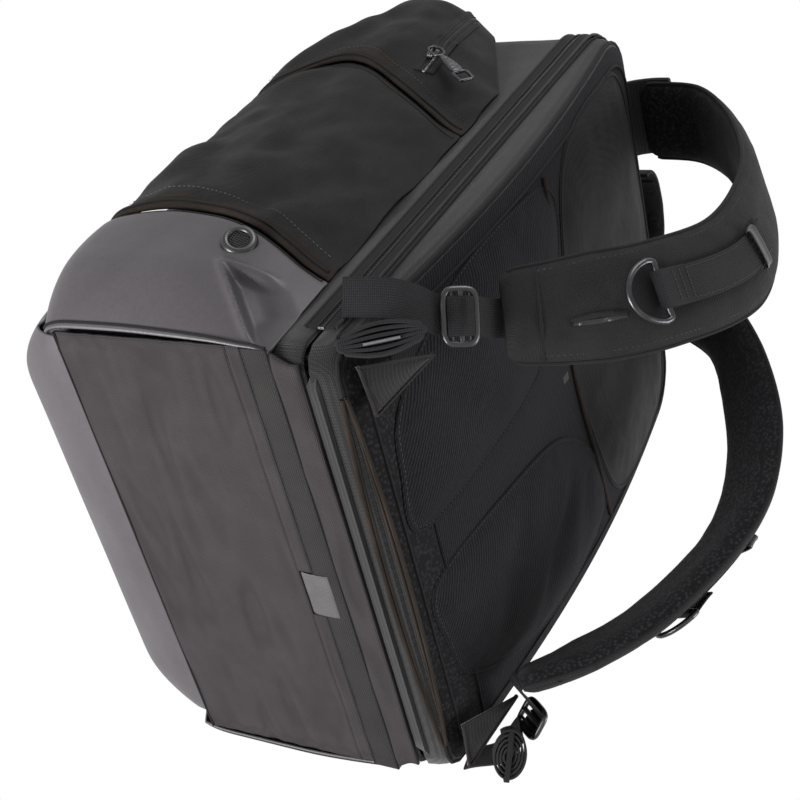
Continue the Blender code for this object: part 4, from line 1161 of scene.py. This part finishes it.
def make_sleeve():
    """Laptop sleeve on the inner face of the door."""
    wide = HALF_WIDTH - 0.007
    half = [(wide - 0.006, DOOR_FRONT + 0.004), (wide - 0.007, 0.086), (wide - 0.020, 0.0803), (0.08, 0.0800)]
    section = smooth_path([(-x, y, 0) for x, y in half] + [(x, y, 0) for x, y in reversed(half)], 9)
    rows = []
    for k in range(41):
        z = 0.018 + 0.328 * k / 40
        rows.append([Vector((p.x, p.y + wrinkle((p.x, 0, z), 0.08, 0.0014, 9.0), z)) for p in section])
    mesh = face_outwards(grid_mesh("sleeve_panel", rows), (0, -1, 0))
    piece = add_piece("sleeve_panel", mesh, "door", "lining", ["laptop_sleeve"], wall=0.0022)
    sheet_size(rows)
    top = [p + Vector((0, 0.0008, 0.0004)) for p in rows[-1]]
    add_tube("sleeve_binding", top, 0.0026, 8, "door", "binding")


def sheet_size(rows):
    """Flat width and length of a sheet, measured along its middle lines."""
    middle = rows[len(rows) // 2]
    column = [row[len(row) // 2] for row in rows]
    return tuple(sum((b - a).length for a, b in zip(line, line[1:])) for line in (middle, column))


def make_wings():
    """Fabric wings at the lower corners, where the harness webbing is sewn in."""
    for tag, side in SIDES:
        a, b, c = [Vector((side * x, y + 0.0012, z)) for x, y, z in
                   ((0.172, 0.1300, 0.0080), (0.134, 0.1310, 0.0120), (0.148, 0.1500, 0.0600))]
        rows = []
        for j in range(13):
            left = a.lerp(c, j / 12)
            right = b.lerp(c, j / 12)
            rows.append([left.lerp(right, i / 12) + Vector((0, 0.0016 * math.sin(math.pi * i / 12), 0))
                         for i in range(13)])
        mesh = face_outwards(grid_mesh("wing_" + tag, rows), (0, 1, 0))
        add_piece("wing_" + tag, mesh, "door", "nylon", ["corner_wing_" + tag], wall=0.0020)
        for label, ends in (("outer", (a, c)), ("inner", (b, c)), ("foot", (a, b))):
            rail = [ends[0].lerp(ends[1], k / 10) + Vector((0, 0.0006, 0)) for k in range(11)]
            name = "wing_edge_" + label + "_" + tag
            add_tube(name, rail, 0.0012, 6, "door", "piping")


def make_top_fittings():
    """Strap yokes with their stitched bars, and the grab handle."""
    for tag, side in SIDES:
        points = [(side * 0.089, 0.1100, HEIGHT + 0.0020), (side * 0.089, 0.1180, HEIGHT + 0.0125),
                  (side * 0.089, 0.1360, HEIGHT + 0.0180), (side * 0.089, 0.1530, HEIGHT + 0.0180)]
        path = smooth_path(points, 8)
        frames = band_frames(path, [0] * len(path), Vector((1, 0, 0)))
        mesh = ribbon_mesh("yoke_" + tag, path, frames, section_rect(0.0345, 0.0024, 0.0020, 3))
        add_piece("yoke_" + tag, mesh, "door", "nylon", ["strap_yoke_" + tag], level=1)
        for k in (0.30, 0.62, 0.92):
            i = int(k * (len(path) - 1))
            wide, face = frames[i]
            up = face if face.z > 0 else -face
            rail = [path[i] + wide * (-0.031 + 0.062 * n / 10) + up * 0.0025 for n in range(11)]
            name = "yoke_stitches_%s_%d" % (tag, i)
            add_stitches(name, "door", rail)
    leg = [(0.040, 0.0012), (0.0375, 0.014), (0.024, 0.0242)]
    arch = leg + [(0.0, 0.0275)] + [(-x, rise) for x, rise in reversed(leg)]
    path = smooth_path([(x, HANDLE_DEPTH, HEIGHT + rise) for x, rise in arch], 10)
    frames = band_frames(path, [0] * len(path), Vector((0, 1, 0)))
    mesh = ribbon_mesh("handle_webbing", path, frames, section_rect(0.0093, 0.0016, 0.0010, 3))
    add_piece("handle_webbing", mesh, "handle", "webbing", ["grab_handle"])
    grip = path[20:-20]
    rows = []
    for i, p in enumerate(grip):
        wide, face = frames[20 + i]
        share = i / (len(grip) - 1)
        size = 0.55 + 0.45 * math.sin(math.pi * min(max(share, 0.03), 0.97)) ** 0.35
        rows.append([p + wide * (0.0098 * size * c) + face * (0.0030 * s) for c, s in circle(20)])
    mesh = grid_mesh("handle_grip", rows, wrap_u=True, cap=True)
    grip_piece = add_piece("handle_grip", mesh, "handle", "strap")
    low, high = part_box("grab_handle")
    for tag, side in SIDES:
        foot = Matrix.Translation((side * 0.0392, HANDLE_DEPTH, HEIGHT + 0.0050))
        mesh = block_mesh("handle_tab_" + tag, foot, (0.0040, (high[1] - low[1]) * 0.80, 0.0050), 0.0008)
        add_piece("handle_tab_" + tag, mesh, "handle", "nylon")


# ---- Shoulder straps and their hardware ------------------------------------------------------
def strap_run(side, steps=3):
    stations = STRAP_STATIONS[side]
    path = smooth_path([(side * x, y, z) for x, y, z, _ in stations], steps)
    twists = []
    for a, b in zip(stations, stations[1:]):
        twists += [a[3] + (b[3] - a[3]) * k / steps for k in range(steps)]
    twists.append(stations[-1][3])
    return path, band_frames(path, [side * t for t in twists], Vector((1, 0, 0)))


def strap_point(path, frames, place, lift):
    i = int(place)
    middle = path[i].lerp(path[min(i + 1, len(path) - 1)], place - i)
    wide, face = frames[i]
    return middle + face * lift, wide, face, directions(path)[i]


def make_strap(tag, side):
    body = "strap_" + tag
    path, frames = strap_run(side)
    sign = 1.0 if frames[len(frames) // 2][1].y > 0 else -1.0
    web_top, clip_place, ring_place = WEB_PLACES[side]
    base = STRAP_THICK / 2 + 0.0034
    fine, fine_frames = strap_run(side, 15)
    last = len(fine) - 1
    scale = []
    for i in range(len(fine)):
        place = i / 5
        width = min(1.0, 0.84 + 0.04 * (last - i) / 5)
        thick = min(1.0, 0.5 + 0.17 * place)
        close = min(i, last - i) / 5
        round_end = math.sqrt(min(1.0, max(close, 0.02) / 0.55))
        scale.append((width * (0.80 + 0.20 * round_end), thick * (0.45 + 0.55 * round_end)))
    section = []
    for c, s in circle(40):
        crown = 0.0075 * (1 - abs(c) ** 3.2) + 0.0012
        section.append((STRAP_HALF_WIDTH * 0.985 * rounded(c, 0.75),
                        math.copysign(min(crown, 0.0082) * min(1.0, abs(s) * 2.4), s)))
    rows = []
    for i, (middle, (wide, face)) in enumerate(zip(fine, fine_frames)):
        across, out = scale[i]
        row = []
        for u, v in section:
            soft = wrinkle((u * 1.4, i * 0.006, v), 0.030, 0.0010, 3.0 + side) * min(1.0, abs(v) / 0.005)
            row.append(middle + wide * (u * across) + face * (v * out + math.copysign(soft, v)))
        rows.append(row)
    mesh = grid_mesh("strap_cover_" + tag, rows, wrap_u=True, cap=True)
    for face in mesh.polygons:
        i = min(face.vertices[0] // len(section), last)
        if (face.normal.dot(fine_frames[i][1]) * sign) < -0.2:
            face.material_index = 1
    cover = add_piece("strap_cover_" + tag, mesh, body, ["strap", "dots"],
                      ["shoulder_strap_" + tag])
    for label, edge in (("in", -1), ("out", 1)):
        rail = [fine[i] + fine_frames[i][0] * (edge * STRAP_HALF_WIDTH * 0.975 * scale[i][0])
                for i in range(2, last - 1)]
        name = "strap_welt_" + label + "_" + tag
        add_tube(name, rail, 0.0017, 8, body, "tape")
        line = []
        for i in range(4, last - 6):
            wide, face = fine_frames[i]
            line.append(fine[i] + wide * (edge * STRAP_HALF_WIDTH * 0.84 * scale[i][0])
                        + face * (sign * scale[i][1] * 0.0050))
        add_stitches("strap_stitches_" + label + "_" + tag, body, line)
    low = last - 8
    wide, face = fine_frames[low]
    seam = []
    for k in range(25):
        c = k / 12 - 1
        crown = sign * (0.0030 + 0.0056 * (1 - abs(c) ** 3.2)) * scale[low][1]
        seam.append(fine[low] + wide * (scale[low][0] * STRAP_HALF_WIDTH * 0.93 * c) + face * crown)
    add_tube("strap_foot_seam_" + tag, seam, 0.0012, 6, body, "tape")
    lip, slit, slit_frames = [], [], []
    for k in range(21):
        at = min(int(round((ring_place + 1.05 + 1.75 * k / 20) * 5)), last - 2)
        wide, face = fine_frames[at]
        inward = wide if wide.x * side < 0 else -wide
        bow = math.sin(math.pi * k / 20)
        place = fine[at] + inward * 0.0090 + face * (sign * 0.0081)
        lip.append(place - inward * (0.0012 + 0.0016 * bow) + face * (sign * 0.0006 * bow))
        slit.append(place + inward * 0.0010 * bow)
        slit_frames.append((wide, face))
    add_tube("strap_slot_" + tag, lip, 0.0019, 8, body, "strap")
    # the slit is a near-black strip on the strap face: painted shade in the embossed slot
    mesh = ribbon_mesh("strap_slit_shade_" + tag, slit, slit_frames, section_rect(0.0018, 0.0008, 0.0005))
    add_piece("strap_slit_shade_" + tag, mesh, body, "coil")

    web, web_frames = [], []
    for k in range(33):
        place = web_top + (ring_place - web_top) * k / 32
        i = min(place * 5, last - 0.001)
        j = int(i)
        middle = fine[j].lerp(fine[j + 1], i - j)
        wide, face = fine_frames[j]
        web.append(middle + face * (sign * base))
        web_frames.append((wide, face * sign))
    centre, wide, face, tangent = strap_point(path, frames, ring_place, sign * (base + BAR_RADIUS))
    out = face * sign
    web = web[:-1]
    web_frames = web_frames[:-1]
    for k in range(1, 12):
        angle = math.radians(-90 + 18 * k)
        web.append(centre + (tangent * math.cos(angle) + out * math.sin(angle)) * BAR_RADIUS)
        web_frames.append((wide, -(tangent * math.cos(angle) + out * math.sin(angle))))
    for back, drop in ((0.004, 0.0006), (0.010, 0.0017), (0.016, 0.0026), (0.022, 0.0030)):
        web.append(centre - tangent * back + out * (BAR_RADIUS - drop))
        web_frames.append((wide, -out))
    mesh = ribbon_mesh("web_" + tag, web, web_frames, WEB_SECTION)
    add_piece("web_" + tag, mesh, body, "webbing", ["strap_webbing_" + tag])
    for label, edge in (("in", -1), ("out", 1)):
        zigzag = []
        for i in range(0, 30):
            w, f = web_frames[i]
            zigzag.append(web[i] + w * (edge * (0.0098 + 0.0008 * (i % 2))) + f * 0.0010)
        name = "web_stitches_" + label + "_" + tag
        add_stitches(name, body, zigzag, 0.0020, 0.0008)
    w, f = web_frames[3]
    box = [web[i] + w * reach + f * 0.0011 for i, reach in
           ((1, -0.010), (1, 0.010), (5, 0.010), (5, -0.010), (1, -0.010), (5, 0.010))]
    add_stitches("web_box_stitch_" + tag, body, box)
    w, f = web_frames[-2]
    bars = []
    for k in (-3, -1, -2):
        rail = [web[k] + w * (-0.0105 + 0.021 * n / 8) - f * 0.0012 for n in range(9)]
        bars.append(stitch_mesh("bar", rail, 0.0022, 0.0004, 0.0004))
    add_piece("web_bar_stitch_" + tag, join_meshes("web_bar_stitch_" + tag, bars), body, "thread")
    make_ring(tag, centre, wide, tangent)
    clip, clip_wide, clip_face, _ = strap_point(path, frames, clip_place, sign * base)
    make_clip(tag, clip, clip_wide, clip_face * sign)


def make_ring(tag, centre, wide, tangent):
    half, bow = 0.0185, 0.024
    points = [centre + wide * (-half + 2 * half * k / 8) for k in range(9)]
    for k in range(1, 28):
        angle = math.pi * k / 28
        reach = tangent * (0.002 + bow * math.sin(angle))
        points.append(centre + wide * half * 1.08 * math.cos(angle) + reach)
    path = smooth_path(points, 3, closed=True)
    mesh = tube_mesh("ring_" + tag, path, RING_ROD * 1.05, 14, closed=True)
    add_piece("ring_" + tag, mesh, "ring_" + tag, "metal", ["d_ring_" + tag])


def make_clip(tag, place, wide, out):
    """Folded plastic clip that rides over the accessory webbing."""
    turn = frame_from(out, out.cross(wide))
    frame = Matrix.Translation(place) @ turn.to_4x4()
    half = [(0.0148, -0.0004), (0.0155, 0.0022), (0.0135, 0.0042), (0.006, 0.0048)]
    outline = smooth_path([(-x, 0, z) for x, z in half] + [(x, 0, z) for x, z in reversed(half)], 5)
    rows = []
    for k in range(9):
        y = -0.0058 + 0.0116 * k / 8
        lip = 0.0007 * math.exp(-((abs(k - 4) - 3.2) / 0.9) ** 2)
        rows.append([frame @ Vector((p.x, y, p.z + lip)) for p in outline])
    mesh = face_outwards(grid_mesh("clip_" + tag, rows), out)
    add_piece("clip_" + tag, mesh, "clip_" + tag, "plastic", ["webbing_clip_" + tag],
              wall=0.0014, level=1)


def make_lower_harness(tag, side):
    """Ladder-lock, adjuster webbing to the body seam and the fabric tail under the lock."""
    centre, normal = LOCKS[side]
    path, frames = strap_run(side)
    centre = Vector((side * centre[0], centre[1], centre[2]))
    normal = Vector((side * normal[0], normal[1], normal[2])).normalized()
    anchor = ANCHORS[side]
    anchor = Vector((side * anchor[0], anchor[1], anchor[2]))
    along = path[-1] - centre
    along = (along - along.dot(normal) * normal).normalized()
    turn = frame_from(normal, along)
    frame = Matrix.Translation(centre) @ turn.to_4x4()
    half_x, half_y = 0.0170, 0.0104
    loop = []
    for c, s in circle(48):
        loop.append(frame @ Vector((half_x * rounded(c, 0.45), half_y * rounded(s, 0.45), 0.0006)))
    parts = [tube_mesh("frame", loop, 0.0021, 10, closed=True)]
    for y, radius in ((0.0006, 0.0020), (-0.0052, 0.0012), (0.0062, 0.0012)):
        rail = []
        for k in range(11):
            bow = 0.0004 + 0.0006 * math.sin(math.pi * k / 10)
            rail.append(frame @ Vector((-half_x + 2 * half_x * k / 10, y, bow)))
        parts.append(tube_mesh("bar", rail, radius, 8))
    body = "lock_" + tag
    add_piece("lock_frame_" + tag, join_meshes("lock_frame_" + tag, parts), body, "plastic",
              ["ladder_lock_" + tag])
    wide = turn @ Vector((1, 0, 0))
    start = centre - along * 0.0100 - normal * 0.0030
    bend = start.lerp(anchor, 0.5) + Vector((side * 0.006, 0.005, 0))
    run = smooth_path([start, bend, anchor], 14)
    strap = "strap_" + tag
    mesh = ribbon_mesh("adjuster_" + tag, run, band_frames(run, [0] * len(run), wide),
                       WEB_SECTION)
    add_piece("adjuster_" + tag, mesh, strap, "webbing", ["adjust_webbing_" + tag])
    foot = path[-1]
    onward = directions(path)[-1]
    through = [centre + along * reach + normal * lift for reach, lift in
               ((0.0065, 0.0030), (0.0004, 0.0034), (-0.0062, 0.0028), (-0.0090, -0.0010))]
    upper = smooth_path([foot - onward * 0.016, foot + onward * 0.003] + through, 7)
    frames = band_frames(upper, [0] * len(upper), wide)
    mesh = ribbon_mesh("lock_webbing_" + tag, upper, frames, WEB_SECTION)
    add_piece("lock_webbing_" + tag, mesh, strap, "webbing")


def make_spare_webbing():
    """Spare webbing: a flat folded bundle on the right, held by a pale elastic keeper that is also a painted
    highlight, and a roll on the left held by elastic.
    """
    middle = Vector((0.1835, 0.1430, 0.0225))
    wide = Vector((0.538, 0.479, -0.693))
    run = Vector((-0.044, 0.822, 0.534)).normalized()
    run = (run - run.dot(wide) * wide).normalized()
    pile = wide.cross(run)
    fold = []
    for layer in range(6):
        for k in range(13):
            share = (k if layer % 2 == 0 else 12 - k) / 12
            swell = 0.50 + 0.50 * math.sin(math.pi * share)
            reach = 0.0265 - 0.0016 * abs(layer - 2.5)
            fold.append(middle + run * (reach * (2 * share - 1)) + pile * ((layer - 2.5) * 0.0036 * swell))
    path = smooth_path(fold, 3)
    frames = band_frames(path, [0] * len(path), wide)
    mesh = ribbon_mesh("spare_bundle", path, frames, section_rect(WEB_WIDTH / 2, 0.0012, 0.0009, 2))
    add_piece("spare_bundle", mesh, "strap_right", "webbing", ["spare_webbing_right"])
    # pale strip laid in the middle of the folded stack: partly a real elastic keeper, partly a painted
    # highlight across the bundle
    path = [middle + run * (0.0110 * k / 5) - pile * 0.0017 for k in range(-5, 6)]
    mesh = ribbon_mesh("spare_keeper_highlight", path, [(wide, pile)] * 11, section_rect(0.0137, 0.0008, 0.0006, 2))
    add_piece("spare_keeper_highlight", mesh, "strap_right", "elastic")
    centre = Vector((-0.162, 0.1600, 0.0185))
    axis = Vector((0.55, 0.45, -0.70)).normalized()
    across = axis.cross(Vector((0, 1, 0))).normalized()
    other = axis.cross(across)
    path, frames = [], []
    for k in range(150):
        angle = math.tau * 4.1 * k / 149
        size = 0.25 + 0.75 * k / 149
        radial = across * (0.0182 * math.cos(angle)) + other * (0.0124 * math.sin(angle))
        path.append(centre + radial * size)
        frames.append((axis, radial.normalized()))
    mesh = ribbon_mesh("spare_roll", path, frames, section_rect(WEB_WIDTH / 4, 0.00085, 0.0006, 2))
    add_piece("spare_roll", mesh, "strap_left", "webbing", ["spare_webbing_left"])
    make_elastic("left", centre, across, axis, 0.0190, 0.0074, other, 0.0020)


def make_elastic(tag, middle, first, second, reach, rise, run, half):
    """Narrow elastic loop round the spare webbing."""
    path, frames = [], []
    for c, s in circle(40):
        offset = first * (reach * rounded(c, 0.5)) + second * (rise * rounded(s, 0.5))
        path.append(middle + offset)
        frames.append((run, (first * c + second * s).normalized()))
    mesh = ribbon_mesh("elastic_" + tag, path, frames, section_rect(half, 0.0006, 0.0004), closed=True)
    add_piece("elastic_" + tag, mesh, "strap_" + tag, "tape")


# ---- Sliders and pulls -----------------------------------------------------------------------
def make_slider(name, body, place, turn, node):
    frame = Matrix.Translation(place) @ turn.to_4x4()
    rows = []
    for y, half, height in ((-0.0062, 0.0016, 0.0010), (-0.0060, 0.0026, 0.0018), (-0.0040, 0.0032, 0.0022),
                            (0.0, 0.0042, 0.0024), (0.0040, 0.0043, 0.0022), (0.0058, 0.0038, 0.0018),
                            (0.0062, 0.0028, 0.0008)):
        rows.append([frame @ Vector((half * x, y, 0.0001 + height * z)) for x, z in
                     ((-1, 0.15), (-0.96, 0.75), (-0.75, 1.0), (0.75, 1.0), (0.96, 0.75), (1, 0.15),
                      (0.9, 0.0), (-0.9, 0.0))])
    parts = [grid_mesh("body", rows, wrap_u=True, cap=True)]
    bridge = [frame @ Vector((0, y, z)) for y, z in
              ((-0.0046, 0.0018), (-0.0040, 0.0036), (-0.0015, 0.0046), (0.0020, 0.0044), (0.0040, 0.0034),
               (0.0046, 0.0018))]
    parts.append(tube_mesh("bridge", smooth_path(bridge, 4), 0.0010, 8))
    add_piece(name, join_meshes(name, parts), body, "metal", [node])


def make_pull(name, body, place, turn, length, node):
    """Pull: ring on the slider's bridge, ribbed body and an open rectangular end."""
    frame = Matrix.Translation(place) @ turn.to_4x4()
    lift = 0.0014

    def loop(y0, y1, half, power=0.5):
        points = []
        for c, s in circle(32):
            points.append(frame @ Vector((half * rounded(c, power),
                                          -(y0 + y1) / 2 + (y1 - y0) / 2 * rounded(s, power), lift)))
        return points

    parts = [tube_mesh("ring", loop(-0.0012, 0.0135, 0.0050, 0.85), 0.0011, 8, closed=True)]
    rows = []
    for k in range(33):
        share = k / 32
        y = 0.0125 + (length - 0.0245) * share
        neck = 0.0010 * math.exp(-((share - 0.12) / 0.06) ** 2)
        half = 0.0034 + 0.0022 * smoothstep(share, 0.1, 1.0) - neck
        rib = 0.0005 * (0.5 + 0.5 * math.cos(share * math.tau * 7)) * smoothstep(share, 0.15, 0.3)
        end = math.sin(math.pi * min(max(share, 0.03), 0.97)) ** 0.2
        row = []
        for c, s in circle(16):
            row.append(frame @ Vector((half * end * rounded(c, 0.6), -y,
                                       lift + (0.0013 + rib) * end * rounded(s, 0.6))))
        rows.append(row)
    parts.append(grid_mesh("body", rows, wrap_u=True, cap=True))
    parts.append(tube_mesh("window", loop(length - 0.0130, length, 0.0058, 0.35), 0.0012, 8, closed=True))
    add_piece(name, join_meshes(name, parts), body, "metal", [node])


def make_zip_set(kind, tag, place, out, along, hang, length):
    slider = "_".join(filter(None, (kind, "zip_slider", tag)))
    pull = "_".join(filter(None, (kind, "zip_pull", tag)))
    turn = frame_from(out, along)
    make_slider(slider + "_metal", "_".join(filter(None, (kind, "slider", tag))), place, turn, slider)
    swing = place + Vector(out).normalized() * 0.0042
    hang_turn = frame_from(out, [-h for h in hang])
    make_pull(pull + "_metal", "_".join(filter(None, (kind, "pull", tag))), swing, hang_turn, length, pull)


def make_zips():
    for tag, side in SIDES:
        skin, out = flank_place(side, *SIDE_ZIP_PLACE)
        make_zip_set("side", tag, skin + out * 0.0030, out, (0, 0, 1), (0, 1.0, -0.72), 0.055)
        centre = Vector((side * 0.012, DOOR_FRONT - 0.00175, HEIGHT + 0.0022))
        make_zip_set("main", tag, centre, (0, 0, 1), (side, 0, 0), (0, -1, 0), 0.040)
    front = Vector((0.100, TRAY_FRONT - POCKET_DEPTH - 0.0003, 0.380))
    make_zip_set("front", "", front, (0, -1, 0), (-1, 0, 0), (0, 0, -1), 0.040)


# ---- Interior --------------------------------------------------------------------------------
def make_interior():
    """Foam cradle with its round seat, the dividers and the hold-down strap."""
    front, rear = -0.1010, -0.0100
    low, high, wide = 0.1765, 0.3975, 0.1740
    rows = []
    for radius, y in ((0.030, -0.0570), (0.078, -0.0575), (0.0835, -0.0560), (0.0860, -0.0400),
                      (0.0880, -0.0180), (0.0900, -0.0125), (0.0935, -0.0104), (0.0970, -0.0100)):
        rows.append([Vector((radius * c, y, CRADLE_HEIGHT + radius * s)) for c, s in circle(96)])
    for spread in (0.35, 0.7, 0.93, 1.0):
        ring = []
        for c, s in circle(96):
            reach = min(wide / max(abs(c), 1e-6), (high - low) / 2 / max(abs(s), 1e-6))
            size = 0.097 + (reach - 0.097) * spread
            y = rear - 0.0030 if spread == 1.0 else rear
            ring.append(Vector((size * c, y, CRADLE_HEIGHT + size * s)))
        rows.append(ring)
    rows.append([Vector((p.x, front, p.z)) for p in rows[-1]])
    rows.append([Vector((p.x * 0.9, front, CRADLE_HEIGHT + (p.z - CRADLE_HEIGHT) * 0.9)) for p in rows[-1]])
    mesh = grid_mesh("cradle_foam", rows, wrap_u=True, cap=True)
    cradle = add_piece("cradle_foam", mesh, "tray", "foam", ["foam_cradle"])
    for kind in ("shelf", "top", "battery"):
        for end in ("_right", "_left") if kind == "battery" else ("",):
            make_divider(kind + "_pad" + end, kind + "_divider" + end)
    path = [Vector((-0.1735 + 0.347 * k / 60, -0.0080 + 0.0008 * math.sin(math.pi * k / 60), CRADLE_HEIGHT))
            for k in range(61)]
    frames = [(Vector((0, 0, 1)), Vector((0, 1, 0)))] * 61
    mesh = ribbon_mesh("hold_down_webbing", path, frames, section_rect(0.0128, 0.0010, 0.0006, 2))
    add_piece("hold_down_webbing", mesh, "tray", "webbing", ["hold_down_strap"])


def make_divider(name, node):
    """Padded divider: fabric over foam, crowned on its broad faces."""
    low, high = [Vector(corner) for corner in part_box(node)]
    size = high - low
    middle = (high + low) / 2
    thin = min(range(3), key=lambda i: size[i])
    a, b = [i for i in range(3) if i != thin]
    rows = []
    for level, inset, share in ((-1, 0.35, 0.96), (-1, 0.12, 0.99), (-1, 0.02, 0.92), (-0.6, 0.0, 1),
                                (0, 0.0, 1), (0.6, 0.0, 1), (1, 0.02, 0.92), (1, 0.12, 0.99),
                                (1, 0.35, 0.96)):
        ring = []
        for c, s in circle(112):
            p = middle.copy()
            grow = max(1 - 1.3 * inset, 0.1)
            p[a] += size[a] / 2 * grow * rounded(c, 0.18)
            p[b] += size[b] / 2 * grow * rounded(s, 0.18)
            p[thin] += size[thin] / 2 * 0.98 * level * (share if abs(level) == 1 else 1)
            ring.append(p)
        rows.append(ring)
    mesh = grid_mesh(name, rows, wrap_u=True, cap=True)
    pad = add_piece(name, mesh, "tray", "lining", [node])
    rim = rows[4]
    add_tube(name + "_binding", rim, 0.0011, 6, "tray", "tape", closed=True)


# ---- Stage -----------------------------------------------------------------------------------
def set_stage():
    scene = bpy.context.scene
    scene.view_settings.view_transform = "Standard"
    world = bpy.data.worlds.new("studio")
    scene.world = world
    world.use_nodes = True
    world.node_tree.nodes["Background"].inputs["Color"].default_value = (1, 1, 1, 1)
    world.node_tree.nodes["Background"].inputs["Strength"].default_value = 1.0
    place = Vector((0.613, 0.566, -0.587))
    right = Vector((-0.2158, 0.8735, 0.4363))
    up = Vector((0.8147, -0.0852, 0.5736))
    back = Vector((0.5383, 0.4792, -0.6933))
    camera = bpy.data.objects.new("camera", bpy.data.cameras.new("camera"))
    camera.data.lens = 65.88
    camera.data.sensor_width = 36.0
    camera.matrix_world = Matrix.Translation(place) @ Matrix((right, up, back)).transposed().to_4x4()
    scene.collection.objects.link(camera)
    scene.camera = camera
    middle = Vector((0.05, 0.04, 0.22))
    for name, way, size, power in (("key", -0.9 * right - 0.45 * up + 0.75 * back, 0.7, 62.0),
                                   ("top", 0.3 * right + 1.0 * up + 0.35 * back, 0.8, 16.0),
                                   ("rim", 1.0 * right - 0.3 * up + 0.35 * back, 0.7, 22.0)):
        light = bpy.data.lights.new(name, "AREA")
        light.size = size
        light.energy = power
        lamp = bpy.data.objects.new(name, light)
        lamp.location = middle + way.normalized() * 1.5
        lamp.rotation_euler = (lamp.location - middle).to_track_quat("Z", "Y").to_euler()
        scene.collection.objects.link(lamp)
    bm = bmesh.new()
    bmesh.ops.create_grid(bm, x_segments=2, y_segments=2, size=4.0)
    mesh = bpy.data.meshes.new("floor")
    bm.to_mesh(mesh)
    bm.free()
    floor = bpy.data.objects.new("floor", mesh)
    floor.location = (0, 0, -1.4)
    pale = Shader("floor_paint", (0.86, 0.86, 0.86), 0.9)
    pale.rough(pale.noise(4.0), 0.85, 0.95)
    mesh.materials.append(pale.material)
    scene.collection.objects.link(floor)


make_tray()
make_base()
make_kick_panel()
make_front_pocket()
make_side_pockets()
make_main_zip()
make_door()
make_back_pads()
make_rain_zip()
make_sleeve()
make_wings()
make_top_fittings()
for label, way in SIDES:
    make_strap(label, way)
    make_lower_harness(label, way)
make_spare_webbing()
make_zips()
make_interior()
set_stage()
